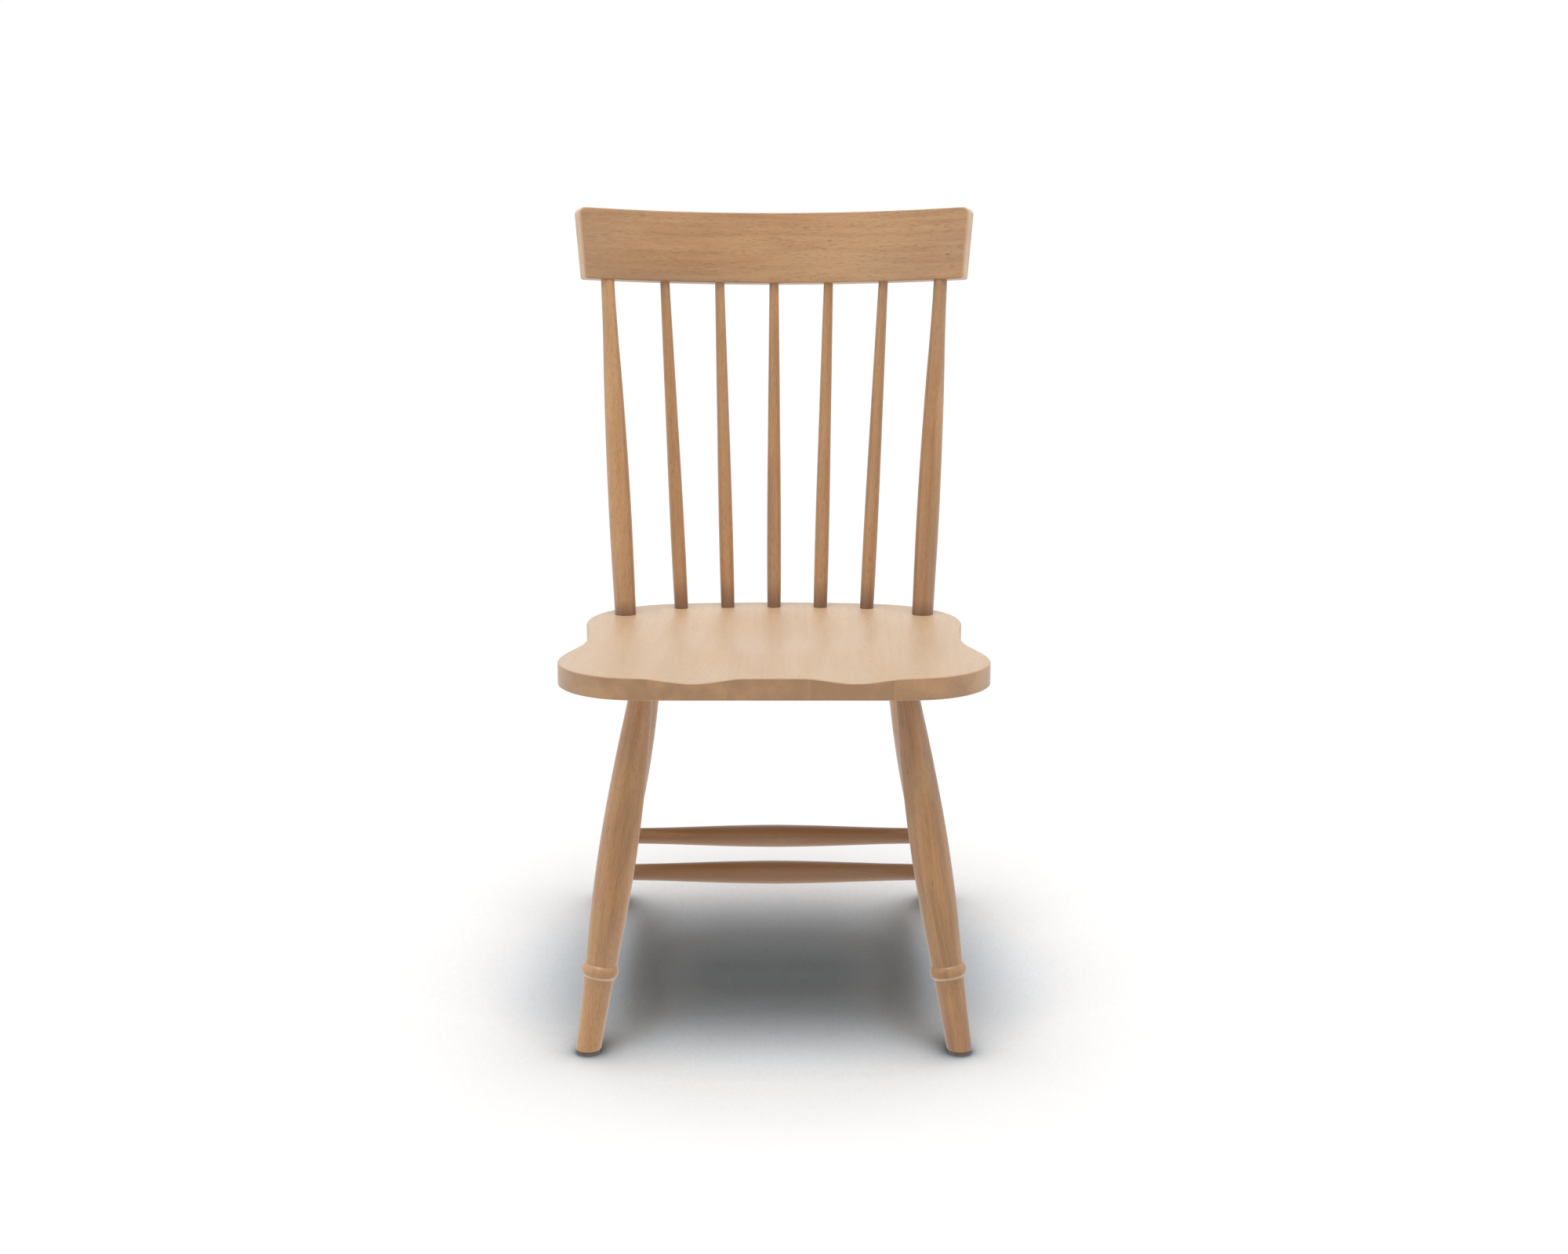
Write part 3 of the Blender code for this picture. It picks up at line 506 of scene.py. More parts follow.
def comb_points(travel, rise, depth):
    """Points of the bent board: travel round the bend, rise above the lower edge, and depth
    behind the middle line."""
    back, up = comb_axes()
    turn = np.asarray(travel)[..., None] / COMB_BEND_RADIUS
    radius = COMB_BEND_RADIUS + np.asarray(depth)[..., None]
    base = np.array((0.0, FRONT_Y + SEAT_DEPTH + COMB_BEHIND_SEAT,
                     SEAT_FRONT_HEIGHT + COMB_ABOVE_SEAT))
    bent = radius * np.sin(turn) * X_AXIS + (radius * np.cos(turn) - COMB_BEND_RADIUS) * back
    return base + bent + np.asarray(rise)[..., None] * up


def comb_travel(half_width):
    """Travel at which the board's back face is half_width from the centre."""
    return COMB_BEND_RADIUS * math.asin(half_width / (COMB_BEND_RADIUS + COMB_THICKNESS / 2))


def rounded_corner(corner, before, after, radius):
    """Points of the arc that rounds a corner between the directions to its two neighbours."""
    to_before, to_after = unit(before - corner), unit(after - corner)
    half = math.acos(np.dot(to_before, to_after)) / 2
    centre = corner + unit(to_before + to_after) * radius / math.sin(half)
    start = corner + to_before * radius / math.tan(half) - centre
    end = corner + to_after * radius / math.tan(half) - centre
    sweep = math.pi - 2 * half
    t = np.linspace(0, 1, EASE_STEPS + 2)[:, None]
    return centre + (np.sin((1 - t) * sweep) * start + np.sin(t * sweep) * end) / math.sin(sweep)


def comb_edge(rise, travel, corner_radius, middle):
    """One long edge of the flat board with both its rounded corners, left to right."""
    corner, inner = np.array((travel, rise)), np.array((0.0, rise))
    arc = rounded_corner(corner, inner, middle, corner_radius)
    share = np.sin(np.linspace(0, math.pi / 2, COMB_COLUMNS // 2 + 1))[:-1, None]
    to_end = (middle - arc[-1]) * eased_spacing(COMB_END_ROWS)[1:, None] + arc[-1]
    right = np.vstack((inner + (arc[0] - inner) * share, arc, to_end))
    return np.vstack((right[:0:-1] * (-1, 1), right))


def comb_face(shrink):
    """The board's lower and upper edges with the outline shrunk all round."""
    base_travel = comb_travel(COMB_BASE_WIDTH / 2)
    flare = (comb_travel(COMB_TOP_WIDTH / 2) - base_travel) / COMB_RISE
    low, high = shrink, COMB_RISE - shrink
    side = shrink * math.hypot(1.0, flare)
    middle = np.array((base_travel + flare * COMB_RISE / 2 - side, COMB_RISE / 2))
    lower = comb_edge(low, base_travel + flare * low - side, COMB_BASE_CORNER - shrink, middle)
    upper = comb_edge(high, base_travel + flare * high - side, COMB_TOP_CORNER - shrink, middle)
    return lower, upper


def make_comb(finish):
    """Two bent faces, and between them loops of the outline that roll over a quarter round at
    the front and at the back."""
    half = COMB_THICKNESS / 2
    turn = np.linspace(0, math.pi / 2, EASE_STEPS)
    rolled = [(-half + COMB_ARRIS * (1 - math.cos(angle)), COMB_ARRIS * (1 - math.sin(angle)))
              for angle in turn]
    wall = (COMB_THICKNESS - 2 * COMB_ARRIS) * (eased_spacing(COMB_EDGE_ROWS)[1:-1] - 0.5)
    layers = rolled + [(depth, 0.0) for depth in wall]
    layers += [(-depth, shrink) for depth, shrink in rolled[::-1]]
    loops = []
    for depth, shrink in layers:
        lower, upper = comb_face(shrink)
        loop = np.vstack((lower, upper[-2:0:-1]))
        loops.append(np.column_stack((loop, np.full(len(loop), depth))))
    edge_points = np.vstack(loops)
    faces = tube_faces(len(loops), len(loops[0]), capped=False)
    lower, upper = comb_face(COMB_ARRIS)
    sheet = lower + (upper - lower) * eased_spacing(COMB_FACE_ROWS)[:, None, None]
    rows, columns = sheet.shape[:2]
    corner = np.arange(rows * columns).reshape(rows, columns)[:-1, :-1]
    quads = np.stack((corner, corner + 1, corner + columns + 1, corner + columns), -1)
    first = len(edge_points)
    for start in (first, first + rows * columns):
        faces += (quads.reshape(-1, 4) + start).tolist()
    flat = sheet.reshape(-1, 2)
    front, back = (np.column_stack((flat, np.full(len(flat), depth))) for depth in (-half, half))
    travel, rise, depth = np.vstack((edge_points, front, back)).T
    grain = np.column_stack((rise, depth, travel)) * 1000 + COMB_IN_TREE
    past_fade = np.abs(travel) - comb_travel(COMB_BASE_WIDTH / 2) + COMB_END_FADE
    at_end = np.clip(past_fade / COMB_END_FADE, 0, 1)
    at_end[first:] = 0.0
    # A painted shade along the front arris at each of the comb's ends
    rolled_over = np.zeros(len(travel))
    rolled_over[:EASE_STEPS * len(loops[0])] = np.repeat(np.sin(turn), len(loops[0]))
    shares = {"end_grain": at_end, "gathered": at_end * rolled_over * COMB_ARRIS_PAINTED_SHADE}
    make_piece("comb_board", comb_points(travel, rise, depth), faces, grain, shares, finish,
               "comb_rail")


# Shape of the turned pieces

def ring_directions(axis, sides):
    """Directions square to an axis, all the way round it."""
    reference = X_AXIS if abs(axis[0]) < abs(axis[2]) else np.array((0.0, 1.0, 0.0))
    across = unit(reference - np.dot(reference, axis) * axis)
    turn = np.arange(sides) * 2 * math.pi / sides
    return np.outer(np.cos(turn), across) + np.outer(np.sin(turn), np.cross(axis, across)), turn


def scribe(start, axis, directions, radius, plane):
    """How far along the axis each line of a round piece meets a plane (its point and normal)."""
    point, normal = plane
    return ((point - start) @ normal - radius * (directions @ normal)) / np.dot(axis, normal)


def turned_surface(start, end, radius_at, sides, places, low_plane, high_plane, foot_round=0.0):
    """Rows of points from start to end. A row stands square to the axis, and near each end it
    leans over until it lies in the plane that the end is scribed to. radius_at gives the radius
    at a share of the length. Returns the points, their turn round the axis, radius and run."""
    axis, length = unit(end - start), np.linalg.norm(end - start)
    directions, turn = ring_directions(axis, sides)
    low = scribe(start, axis, directions, radius_at(0.0), low_plane)
    high = scribe(start, axis, directions, radius_at(1.0), high_plane) - length
    u = np.asarray(places)[:, None]
    run = (u * length + low * np.clip(1 - u / LEAN_SHARE, 0, 1) ** 2
           + high * np.clip(1 - (1 - u) / LEAN_SHARE, 0, 1) ** 2)
    radius = radius_at(run / length)
    radius[0], radius[-1] = radius_at(0.0), radius_at(1.0)
    if foot_round:
        point, normal = low_plane
        angles = np.linspace(0, math.pi / 2, EASE_STEPS)[:-1]
        narrow = radius_at(0.0) - foot_round * (1 - np.sin(angles))
        planes = [(point - normal * foot_round * math.cos(angle), normal) for angle in angles]
        rounds = [scribe(start, axis, directions, size, plane)
                  for size, plane in zip(narrow, planes)]
        run = np.vstack(rounds + [run])
        radius = np.vstack((np.repeat(narrow[:, None], sides, axis=1), radius))
    points = start + run[..., None] * axis + radius[..., None] * directions
    middles = np.vstack((points[0].mean(axis=0), points[-1].mean(axis=0)))
    return np.vstack((points.reshape(-1, 3), middles)), turn, radius, run


def make_turned(name, surface, sides, heart, finish, node, gather=0.0, arris=None):
    """A turned piece with its grain along its axis. heart is where the middle of the tree lies
    from the axis, in mm across and along, the argument after node is how far up the foot a painted
    shade darkens the wood, and arris is how far up a pale line runs round the piece."""
    points, turn, radius, run = surface
    across = np.stack((radius * np.cos(turn), radius * np.sin(turn), run), -1).reshape(-1, 3)
    ends = np.array(((0.0, 0.0, run[0].mean()), (0.0, 0.0, run[-1].mean())))
    grain = np.vstack((across, ends)) * 1000 + heart
    end_grain = np.zeros(len(points))
    end_grain[-2:] = 1.0
    up = np.concatenate((run.ravel(), run[[0, -1]].mean(axis=1)))
    # A painted shade up the foot, a pale line round the ring, and a painted tone for light and
    # shade on single pieces
    gathered = np.clip(1 - up / gather, 0, 1) if gather else 0.0
    pale_line = hump((up - arris) / PALE_LINE_HALF_WIDTH) if arris else 0.0
    shares = {"end_grain": end_grain, "gathered": gathered, "pale_line": pale_line,
              "tone": PAINTED_LIGHT_TONES.get(node, 0.0)}
    make_piece(name, points, tube_faces(len(run), sides), grain, shares, finish, node)


def seat_normal():
    """Upward normal of the seat's rim and underside."""
    return unit((0.0, SEAT_FALL, SEAT_DEPTH))


def spindle_foot(share):
    """Where a spindle's axis meets the seat's rim, at a share of half the seat's width."""
    outline = seat_outline()
    line = outline + inward_of(outline) * SPINDLE_INSET
    half = line[: OUTLINE_POINTS // 2 + 1]
    back = half[np.argmax(half[:, 0]):][::-1]
    x = share * SEAT_WIDTH / 2
    setback = np.interp(x, back[:, 0], back[:, 1])
    return np.array((x, FRONT_Y + setback, rim_height(setback)))


def make_back(finish, hearts):
    """The centre spindle, two pairs of spindles and the two posts."""
    up = comb_axes()[1]
    for kind, (seat_share, comb_share) in SPINDLE_PLACE_SHARES.items():
        if kind == "back_post":
            shares, diameter, gather = POST_GIRTH_SHARES, POST_DIAMETER, POST_PAINTED_SHADE
        else:
            shares, diameter, gather = SPINDLE_GIRTH_SHARES, SPINDLE_DIAMETER, SPINDLE_PAINTED_SHADE
        foot = spindle_foot(seat_share)
        travel = COMB_BEND_RADIUS * math.asin(comb_share * COMB_BASE_WIDTH / 2 / COMB_BEND_RADIUS)
        head = comb_points(travel, 0.0, 0.0)
        names = {"": 1} if seat_share == 0 else {"_" + word: side for word, side in SIDES.items()}
        for word, side in names.items():
            start, end = foot * (side, 1, 1), head * (side, 1, 1)
            surface = turned_surface(
                start, end, lambda place: girth(shares, diameter, place), STICK_SIDES,
                np.linspace(0, 1, STICK_ROWS), (start - seat_normal() * LET_IN, seat_normal()),
                (end + up * LET_IN, up))
            make_turned("turned_" + kind + word, surface, STICK_SIDES, next(hearts), finish,
                        kind + word, gather=gather)


def leg_line(side, side_inset, setback, splay, rake):
    """The foot and the shoulder of a leg's axis: on the glide, and under the seat."""
    shoulder = np.array((side * (SEAT_WIDTH / 2 - side_inset), FRONT_Y + setback,
                         rim_height(setback) - SEAT_THICKNESS))
    slope = np.array((side * math.tan(math.radians(splay)), math.tan(math.radians(rake)), -1.0))
    return shoulder + slope * (shoulder[2] - GLIDE_THICKNESS), shoulder


def point_at_height(line, height):
    """The point of a leg's axis at a height."""
    foot, shoulder = line
    return foot + (shoulder - foot) * (height - foot[2]) / (shoulder[2] - foot[2])


def leg_radius(length):
    """The leg's radius at a share of its length: its swelling profile, and low down the ring, a
    bead that stands out as the arc of a circle between two creases."""
    stand = RING_DIAMETER / 2 - girth(LEG_GIRTH_SHARES, LEG_DIAMETER, RING_PLACE_SHARE)
    arc = ((RING_HEIGHT / 2) ** 2 + stand**2) / (2 * stand)

    def radius_at(place):
        away = (np.asarray(place) - RING_PLACE_SHARE) * length
        across = np.clip(away, -RING_HEIGHT / 2, RING_HEIGHT / 2)
        bead = np.sqrt(arc**2 - across**2) - (arc - stand)
        return girth(LEG_GIRTH_SHARES, LEG_DIAMETER, place) + bead
    return radius_at


def make_leg(name, line, heart, finish, node):
    """A turned leg, cut level and rounded at the foot and scribed to the seat's underside."""
    foot, shoulder = line
    length = np.linalg.norm(shoulder - foot)
    ring = RING_PLACE_SHARE + np.linspace(-1, 1, RING_ROWS) * RING_HEIGHT / 2 / length
    other = np.linspace(0, 1, STICK_ROWS)
    other = other[(other < ring[0] - RING_GAP_SHARE) | (other > ring[-1] + RING_GAP_SHARE)]
    surface = turned_surface(
        foot, shoulder, leg_radius(length), LEG_SIDES, np.sort(np.concatenate((ring, other))),
        (foot + Z_AXIS * FOOT_ROUND, Z_AXIS), (shoulder + seat_normal() * LET_IN, seat_normal()),
        foot_round=FOOT_ROUND)
    make_turned(name, surface, LEG_SIDES, heart, finish, node,
                arris=RING_PLACE_SHARE * length - RING_HEIGHT / 2 + PALE_LINE_RISE)


def make_stretcher(name, start, end, diameter, bury, heart, finish, node):
    """A stretcher that swells to its middle. Its ends are buried in what it joins."""
    length = np.linalg.norm(end - start)
    axis = unit(end - start)

    def radius_at(place):
        share = (place * length - bury) / (length - 2 * bury)
        return girth(STRETCHER_GIRTH_SHARES, diameter, share)
    surface = turned_surface(start, end, radius_at, STICK_SIDES, np.linspace(0, 1, STICK_ROWS),
                             (start, axis), (end, axis))
    make_turned(name, surface, STICK_SIDES, heart, finish, node)


def make_glide(name, foot, finish, node):
    """A disc turned from its profile: a hole for the nail's head below, eased edges, and a flat
    top that meets the foot."""
    edge, top = GLIDE_DIAMETER / 2, GLIDE_THICKNESS
    turn = np.linspace(0, math.pi / 2, EASE_STEPS)
    early, late = GLIDE_EASE * (1 - np.sin(turn)), GLIDE_EASE * (1 - np.cos(turn))
    hole = ((GLIDE_HOLE_RADIUS, GLIDE_HOLE_DEPTH), (GLIDE_HOLE_RADIUS, 0.0))
    profile = np.vstack((hole, np.column_stack((edge - early, late)),
                         np.column_stack((edge - late, top - early))))
    radius, height = profile[:, :1], np.repeat(profile[:, 1:], STICK_SIDES, axis=1)
    angle = np.arange(STICK_SIDES) * 2 * math.pi / STICK_SIDES
    points = np.stack((radius * np.cos(angle), radius * np.sin(angle), height), -1).reshape(-1, 3)
    points = np.vstack((points, ((0.0, 0.0, GLIDE_HOLE_DEPTH), (0.0, 0.0, top))))
    make_piece(name, points + foot - Z_AXIS * GLIDE_THICKNESS,
               tube_faces(len(profile), STICK_SIDES), points * 1000, {}, finish, node)


def make_under_frame(wood, plastic, hearts):
    """The legs, the glides, and the stretchers that tie the legs."""
    joints = {}
    for word, side in SIDES.items():
        lines = {"front": leg_line(side, **FRONT_LEG), "rear": leg_line(side, **REAR_LEG)}
        for place, line in lines.items():
            node = f"{place}_leg_{word}"
            make_leg("turned_" + node, line, next(hearts), wood, node)
            make_glide(f"moulded_{place}_glide_{word}", line[0], plastic, f"{place}_glide_{word}")
        front, rear = (point_at_height(line, STRETCHER_HEIGHT) for line in lines.values())
        node = "side_stretcher_" + word
        make_stretcher("turned_" + node, front, rear, SIDE_STRETCHER_DIAMETER, LEG_DIAMETER / 2,
                       next(hearts), wood, node)
        joints[word] = {place: front + (rear - front) * share
                        for place, share in CROSS_STRETCHER_SHARES.items()}
    for place in CROSS_STRETCHER_SHARES:
        node = "cross_stretcher_" + place
        make_stretcher("turned_" + node, joints["left"][place], joints["right"][place],
                       CROSS_STRETCHER_DIAMETER, SIDE_STRETCHER_DIAMETER / 2, next(hearts), wood,
                       node)


# Materials

def colour(code):
    """The linear colour of an sRGB hex value."""
    parts = [int(code[i:i + 2], 16) / 255 for i in (1, 3, 5)]
    return (*[c / 12.92 if c <= 0.04045 else ((c + 0.055) / 1.055) ** 2.4 for c in parts], 1.0)


def add(tree, kind, inputs=None, out=0, stops=(), **settings):
    """Adds a node and returns one of its outputs. inputs are values, or the outputs that feed it,
    and stops fill a colour ramp."""
    node = tree.nodes.new(kind)
    for key, value in settings.items():
        setattr(node, key, value)
    for _ in stops[2:]:
        node.color_ramp.elements.new(0.5)
    for k, (place, shade) in enumerate(stops):
        element = node.color_ramp.elements[k]
        element.position, element.color = place, shade
    for key, value in (inputs or {}).items():
        if isinstance(value, bpy.types.NodeSocket):
            tree.links.new(value, node.inputs[key])
        else:
            node.inputs[key].default_value = value
    return node.outputs[out] if node.outputs else None


def bare_material(name):
    """A new material and its node tree, with nothing in it."""
    made = bpy.data.materials.new(name)
    made.use_nodes = True
    made.node_tree.nodes.clear()
    return made, made.node_tree


def lacquered_wood(name, shades, cut_shades, strengths, pore_share, boards=None, marks=()):
    """Light diffuse-porous hardwood under satin lacquer. The eye sees soft lengthwise streaks,
    fine fibres, short dark pores that line up along the grain, and cloudy patches that are
    greyer or warmer. Cut ends show the growth as broad patches, and dots for pores. A painted
    shade darkens the feet of the sticks and some arrises, a pale line is painted round each ring,
    and a painted tone makes single pieces lighter or darker for light and shade. strengths is how
    much each pattern moves the tone. boards adds the nodes that split the wood into boards. marks
    are darker places: a centre and a size in mm, and a strength."""
    made, tree = bare_material(name)
    place = add(tree, "ShaderNodeAttribute", out="Vector", attribute_name="grain")
    board_tone = cut_tone = 0.0
    if boards:
        place, board_tone, cut_tone = boards(tree, place)
    stretched = add(tree, "ShaderNodeMapping", {"Vector": place, "Scale": (1, 1, WANDER_STRETCH)})
    wander = add(tree, "ShaderNodeTexNoise", {
        "Vector": stretched, "Scale": 1 / GRAIN_WANDER_MM, "Detail": 1.0}, out="Color")
    bent = add(tree, "ShaderNodeVectorMath", {
        0: wander, 1: (GRAIN_SWAY_MM, GRAIN_SWAY_MM, 0), 2: place}, operation="MULTIPLY_ADD")
    pattern = {}
    for key, (across, along, detail) in WOOD_PATTERNS.items():
        stretched = add(tree, "ShaderNodeMapping", {
            "Vector": bent, "Scale": (1, 1, across / along)})
        pattern[key] = add(tree, "ShaderNodeTexNoise", {
            "Vector": stretched, "Scale": 1 / across, "Detail": detail})
    stretched = add(tree, "ShaderNodeMapping", {"Vector": bent, "Scale": (1, 1, RING_STRETCH)})
    pattern["rings"] = add(tree, "ShaderNodeTexWave", {
        "Vector": stretched, "Scale": WAVE_BAND / GROWTH_RING_MM, "Distortion": 2.2,
        "Detail": 2.0, "Detail Scale": 1.0}, out="Fac", wave_type="RINGS", rings_direction="Z")

    tone = add(tree, "ShaderNodeAttribute", out="Fac", attribute_name="tone")
    for shift in (TONE_STOPS[1] - sum(strengths.values()) / 2, board_tone):
        tone = add(tree, "ShaderNodeMath", {0: tone, 1: shift}, operation="ADD")
    for key, strength in strengths.items():
        tone = add(tree, "ShaderNodeMath", {0: pattern[key], 1: strength, 2: tone},
                   operation="MULTIPLY_ADD")
    base = add(tree, "ShaderNodeValToRGB", {"Fac": tone},
               stops=[(stop, colour(shade)) for stop, shade in zip(TONE_STOPS, shades)])

    growth = pattern["cut_growth"]
    for amount, share in ((pattern["cut_pores"], CUT_PORE_SHARE), (cut_tone, CUT_TONE_SHARE)):
        growth = add(tree, "ShaderNodeMath", {0: amount, 1: share, 2: growth},
                     operation="MULTIPLY_ADD")
    cut_end = add(tree, "ShaderNodeValToRGB", {"Fac": growth},
                  stops=[(stop, colour(shade)) for stop, shade in zip(CUT_STOPS, cut_shades)])
    pores = add(tree, "ShaderNodeMath", {
        0: pattern["pore_rows"], 1: PORE_ROW_SHARE, 2: pattern["pores"]}, operation="MULTIPLY_ADD")
    greyed = add(tree, "ShaderNodeMapRange", {
        0: pattern["greying"], 1: GREY_RANGE[0], 2: GREY_RANGE[1], 4: pore_share / 2})
    pored = add(tree, "ShaderNodeMapRange", {
        0: pores, 1: PORE_RANGE[0], 2: PORE_RANGE[1], 4: pore_share})
    covers = [(greyed, colour(GREY_COLOUR)), (pored, colour(PORE_COLOUR))]
    for centre, size, strength in marks:
        away = add(tree, "ShaderNodeVectorMath", {0: place, 1: centre}, operation="SUBTRACT")
        away = add(tree, "ShaderNodeVectorMath", {0: away, 1: size}, operation="DIVIDE")
        away = add(tree, "ShaderNodeVectorMath", {0: away}, out="Value", operation="LENGTH")
        mark = add(tree, "ShaderNodeMapRange", {
            0: away, 1: MARK_RANGE[0], 2: MARK_RANGE[1], 3: strength, 4: 0.0})
        covers.append((mark, colour(MARK_COLOUR)))
    shown = [("end_grain", END_GRAIN_COVER, cut_end)]
    shown += [(key, share, colour(shade)) for key, (share, shade) in COVERS.items()]
    for key, share, shade in shown:
        amount = add(tree, "ShaderNodeAttribute", out="Fac", attribute_name=key)
        covers.append((add(tree, "ShaderNodeMapRange", {0: amount, 4: share}), shade))
    for cover, shade in covers:
        base = add(tree, "ShaderNodeMix", {0: cover, 6: base, 7: shade}, out=2, data_type="RGBA")

    rough = add(tree, "ShaderNodeMapRange", {
        0: pattern["fibres"], 1: MIDDLE_RANGE[0], 2: MIDDLE_RANGE[1],
        3: WOOD_ROUGHNESS[0], 4: WOOD_ROUGHNESS[1]})
    relief = add(tree, "ShaderNodeMath", {
        0: pored, 1: PORE_RELIEF / pore_share, 2: pattern["fibres"]}, operation="MULTIPLY_ADD")
    bump = add(tree, "ShaderNodeBump", {
        "Strength": WOOD_BUMP, "Distance": PORE_DEPTH, "Height": relief})
    shader = add(tree, "ShaderNodeBsdfPrincipled", {
        "Base Color": base, "Roughness": rough, "IOR": POLYMER_IOR, "Normal": bump,
        "Coat Weight": 1.0, "Coat Roughness": COAT_ROUGHNESS, "Coat IOR": POLYMER_IOR})
    add(tree, "ShaderNodeOutputMaterial", {"Surface": shader})
    return made


def seat_boards(tree, place):
    """The seat's boards, glued edge to edge along the grain: each is cut from another place in
    the tree and has tones of its own. Returns the place in the tree, the shift of the tone and
    the shift of the cut edge's tone."""
    across = add(tree, "ShaderNodeSeparateXYZ", {0: place}, out="X")
    half_mm = SEAT_WIDTH / 2 * 1000
    across = add(tree, "ShaderNodeMapRange", {0: across, 1: -half_mm, 2: half_mm})
    chooser = add(tree, "ShaderNodeValToRGB", {"Fac": across},
                  stops=[(edge, choice) for edge, *choice in SEAT_BOARDS])
    chooser.node.color_ramp.interpolation = "CONSTANT"
    jump = add(tree, "ShaderNodeVectorMath", {0: chooser, 1: BOARD_JUMP_MM, 2: place},
               operation="MULTIPLY_ADD")
    tone = add(tree, "ShaderNodeSeparateColor", {0: chooser}, out="Blue")
    tones = [add(tree, "ShaderNodeMath", {0: level, 1: NO_SHIFT}, operation="SUBTRACT")
             for level in (tone, chooser.node.outputs["Alpha"])]
    return jump, *tones


def moulded_plastic(name):
    """Grey-brown polyethylene, moulded. The eye sees a matte skin, faintly pebbled, with paler
    scuffs."""
    made, tree = bare_material(name)
    place = add(tree, "ShaderNodeAttribute", out="Vector", attribute_name="grain")
    pebbles = add(tree, "ShaderNodeTexNoise", {
        "Vector": place, "Scale": 1 / PEBBLE_MM, "Detail": 2.0})
    scuffs = add(tree, "ShaderNodeTexNoise", {
        "Vector": place, "Scale": 1 / SCUFF_MM, "Detail": 3.0})
    shade = add(tree, "ShaderNodeValToRGB", {"Fac": scuffs},
                stops=list(zip(MIDDLE_RANGE, (colour("#5a534d"), colour("#6e6760")))))
    rough = add(tree, "ShaderNodeMapRange", {
        0: scuffs, 1: MIDDLE_RANGE[0], 2: MIDDLE_RANGE[1],
        3: PLASTIC_ROUGHNESS[0], 4: PLASTIC_ROUGHNESS[1]})
    bump = add(tree, "ShaderNodeBump", {
        "Strength": PLASTIC_BUMP, "Distance": PEBBLE_DEPTH, "Height": pebbles})
    shader = add(tree, "ShaderNodeBsdfPrincipled", {
        "Base Color": shade, "Roughness": rough, "IOR": POLYMER_IOR, "Normal": bump})
    add(tree, "ShaderNodeOutputMaterial", {"Surface": shader})
    return made


def drawn_steel(name):
    """Bright drawn wire, with fine scratches from use on the floor. The scratches are drawn
    SCRATCH_SPACING apart, as finer ones don't show."""
    made, tree = bare_material(name)
    place = add(tree, "ShaderNodeTexCoord", out="Object")
    scratches = add(tree, "ShaderNodeTexNoise", {
        "Vector": place, "Scale": 1 / SCRATCH_SPACING, "Detail": 2.0})
    rough = add(tree, "ShaderNodeMapRange", {
        0: scratches, 1: MIDDLE_RANGE[0], 2: MIDDLE_RANGE[1],
        3: STEEL_ROUGHNESS[0], 4: STEEL_ROUGHNESS[1]})
    shade = add(tree, "ShaderNodeValToRGB", {"Fac": scratches},
                stops=list(zip(MIDDLE_RANGE, (colour("#a8a8ac"), colour("#c6c6ca")))))
    shader = add(tree, "ShaderNodeBsdfPrincipled", {
        "Base Color": shade, "Roughness": rough, "Metallic": 1.0})
    add(tree, "ShaderNodeOutputMaterial", {"Surface": shader})
    return made


# Studio

def white_paper_floor():
    """Matte white paper. The eye sees it as the white of the surround, and a neutral grey where
    the chair stands over it: darker close to the legs, and cooler in the middle, against the
    warm light that the wood throws down. To other rays it is an evenly lit white sheet, as wide
    paper is in a studio with lamps on all sides."""
    made, tree = bare_material("white_paper_floor")
    # The paper's colour is painted darker where the chair closes it in, a painted shadow on top of
    # the lamps' own, and painted cooler under the seat against the wood's warm bounce
    openness = add(tree, "ShaderNodeAmbientOcclusion", {"Distance": OPENNESS_REACH}, out="AO",
                   samples=16)
    near_legs = add(tree, "ShaderNodeValToRGB", {"Fac": openness},
                    stops=[(FULL_SHADE_OPENNESS, colour(SHADE_COLOUR)), (1.0, colour(WHITE))])
    place = add(tree, "ShaderNodeTexCoord", out="Object")
    place = add(tree, "ShaderNodeMapping", {
        "Vector": place, "Location": PATCH_CENTRE, "Scale": PATCH_REACH}, vector_type="TEXTURE")
    under_seat = add(tree, "ShaderNodeTexGradient", {"Vector": place}, out="Fac",
                     gradient_type="SPHERICAL")
    cooler = add(tree, "ShaderNodeValToRGB", {"Fac": under_seat},
                 stops=[(0.0, colour(WHITE)), (FULL_PATCH, colour(PATCH_COLOUR))])
    shade = add(tree, "ShaderNodeMix", {0: 1.0, 6: near_legs, 7: cooler}, out=2,
                data_type="RGBA", blend_type="MULTIPLY")
    paper = add(tree, "ShaderNodeBsdfPrincipled", {
        "Base Color": shade, "Roughness": 1.0, "Specular IOR Level": 0.0})
    mirrored = add(tree, "ShaderNodeLightPath", out="Is Glossy Ray")
    level = add(tree, "ShaderNodeMapRange", {0: mirrored, 3: FLOOR_BOUNCE, 4: FLOOR_MIRRORED})
    lit_sheet = add(tree, "ShaderNodeEmission", {"Color": colour(WHITE), "Strength": level})
    seen = add(tree, "ShaderNodeLightPath", out="Is Camera Ray")
    either = add(tree, "ShaderNodeMixShader", {0: seen, 1: lit_sheet, 2: paper})
    add(tree, "ShaderNodeOutputMaterial", {"Surface": either})
    return made


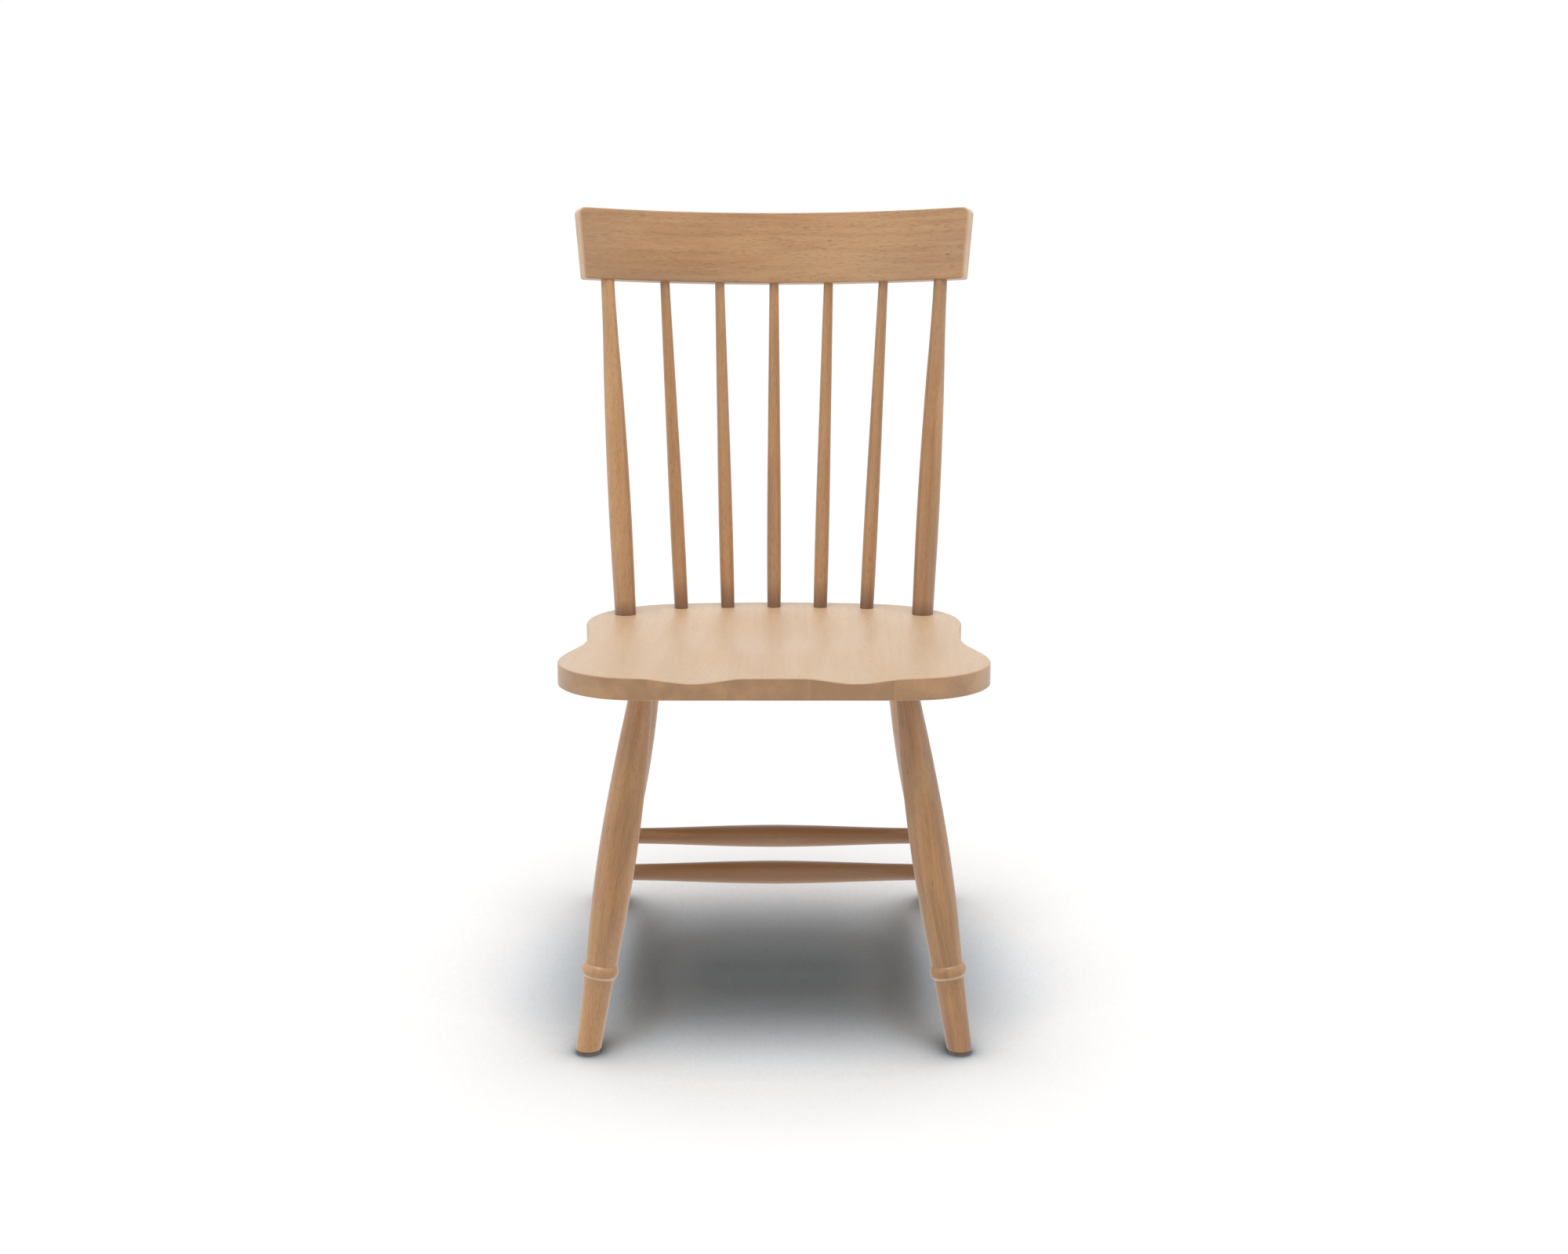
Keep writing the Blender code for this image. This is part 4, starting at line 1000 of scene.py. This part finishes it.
def white_surround():
    """A world that is white to the eye and in reflections, and a dim even light to the rest."""
    world = bpy.data.worlds.new("white_surround")
    world.use_nodes = True
    tree = world.node_tree
    tree.nodes.clear()
    seen = add(tree, "ShaderNodeLightPath", out="Is Camera Ray")
    for kind in ("Is Glossy Ray", "Is Transmission Ray"):
        path = add(tree, "ShaderNodeLightPath", out=kind)
        seen = add(tree, "ShaderNodeMath", {0: seen, 1: path}, operation="MAXIMUM")
    strength = add(tree, "ShaderNodeMapRange", {0: seen, 3: SURROUND_LIGHT, 4: 1.0})
    back = add(tree, "ShaderNodeBackground", {"Color": colour(WHITE), "Strength": strength})
    add(tree, "ShaderNodeOutputWorld", {"Surface": back})
    return world


def make_lamp(name, floor, bearing, elevation, level, spread, floor_link):
    """A lamp at a great distance, at a bearing from the front (right is positive) and a height,
    both in degrees. level is what it gives a white surface that faces it, and spread is how
    wide it looks, in degrees, which softens its shadows. floor_link says whether it lights
    nothing but the floor, or all but the floor."""
    lamp = bpy.data.lights.new(name, "SUN")
    lamp.energy = level * math.pi
    lamp.angle = math.radians(spread)
    holder = bpy.data.objects.new(name, lamp)
    holder.rotation_euler = (math.radians(90 - elevation), 0.0, math.radians(bearing))
    bpy.context.collection.objects.link(holder)
    receivers = bpy.data.collections.new(name + "_receivers")
    receivers.objects.link(floor)
    receivers.collection_objects[0].light_linking.link_state = floor_link
    holder.light_linking.receiver_collection = receivers


def make_studio():
    """A white floor in a white surround, and the lamps."""
    mesh = bpy.data.meshes.new("studio_floor")
    corners = [(x * FLOOR_REACH, y * FLOOR_REACH, 0.0)
               for x, y in ((-1, -1), (1, -1), (1, 1), (-1, 1))]
    mesh.from_pydata(corners, [], [(0, 1, 2, 3)])
    mesh.materials.append(white_paper_floor())
    floor = bpy.data.objects.new("studio_floor", mesh)
    bpy.context.collection.objects.link(floor)
    bpy.context.scene.world = white_surround()
    for name, *settings in LAMPS:
        make_lamp(name, floor, *settings)


def make_camera():
    """A camera in front of the chair and above it, at the photograph's place and angle."""
    lens = bpy.data.cameras.new("camera")
    lens.sensor_width = CAMERA_SENSOR_MM
    lens.lens = CAMERA_LENS_MM
    lens.shift_x = CAMERA_SHIFT
    lens.clip_end = CAMERA_REACH
    camera = bpy.data.objects.new("camera", lens)
    camera.location = (0.0, FRONT_Y - CAMERA_TO_SEAT, CAMERA_HEIGHT)
    camera.rotation_euler = (math.radians(90 - CAMERA_PITCH), 0.0, 0.0)
    bpy.context.collection.objects.link(camera)
    bpy.context.scene.camera = camera


def tree_places():
    """Where each turned piece was cut from: a seeded run of places round the heart of the tree."""
    chance = np.random.default_rng(TREE_SEED)
    angle = chance.uniform(0, 2 * math.pi, TURNED_PIECES)
    away = chance.uniform(*HEART_DISTANCE_MM, TURNED_PIECES)
    along = chance.uniform(0, TREE_LENGTH_MM, TURNED_PIECES)
    return iter(np.column_stack((away * np.cos(angle), away * np.sin(angle), along)))


# The three woods: the shades of dark, middle and pale tones, those of a cut end, how much each
# pattern moves the tone, and how much of a pore shows
WOODS = {
    "seat_boards": {
        "shades": ("#b89670", "#ccab86", "#d7ba99"),
        "cut_shades": ("#a17448", "#bf8f5d"),
        "strengths": {"streaks": 0.31, "fibres": 0.21, "rings": 0.035, "clouds": 0.21},
        "pore_share": 0.21,
        "boards": seat_boards,
    },
    "comb_board": {
        "shades": ("#9d6e40", "#b98a5a", "#cb9d6d"),
        # The comb's cut ends are painted paler than its face: a painted sheen where the ends catch
        # the side light
        "cut_shades": ("#cfa57b", "#e2bb92"),
        "strengths": {"streaks": 0.42, "fibres": 0.30, "rings": 0.07, "clouds": 0.80},
        "pore_share": 0.37,
        "marks": (
            ((131.0, 96.0, 3626.0), (0.9, 6.0, 4.0), 0.60),
            ((109.0, 96.0, 3778.0), (1.3, 6.0, 4.5), 0.75),
            ((83.0, 96.0, 3426.0), (34.0, 40.0, 190.0), 0.13),
        ),
    },
    "turned_pieces": {
        "shades": ("#926333", "#b98650", "#cf9c63"),
        "cut_shades": ("#7c5638", "#8c6444"),
        "strengths": {"streaks": 0.42, "fibres": 0.28, "rings": 0.06, "clouds": 0.70},
        "pore_share": 0.36,
    },
}


def main():
    """Dresses the solids, then adds the studio and the camera."""
    bpy.context.scene.view_settings.view_transform = "Standard"
    woods = {name: lacquered_wood(f"lacquered_{name}", **wood) for name, wood in WOODS.items()}
    plastic = moulded_plastic("moulded_glide_plastic")
    steel = drawn_steel("drawn_steel_nail")
    hearts = tree_places()
    make_seat(woods["seat_boards"])
    make_comb(woods["comb_board"])
    make_back(woods["turned_pieces"], hearts)
    make_under_frame(woods["turned_pieces"], plastic, hearts)
    for place in ("front", "rear"):
        for word in SIDES:
            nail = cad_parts[f"{place}_glide_nail_{word}"]
            nail.data.materials.clear()
            nail.data.materials.append(steel)
    make_studio()
    make_camera()


main()
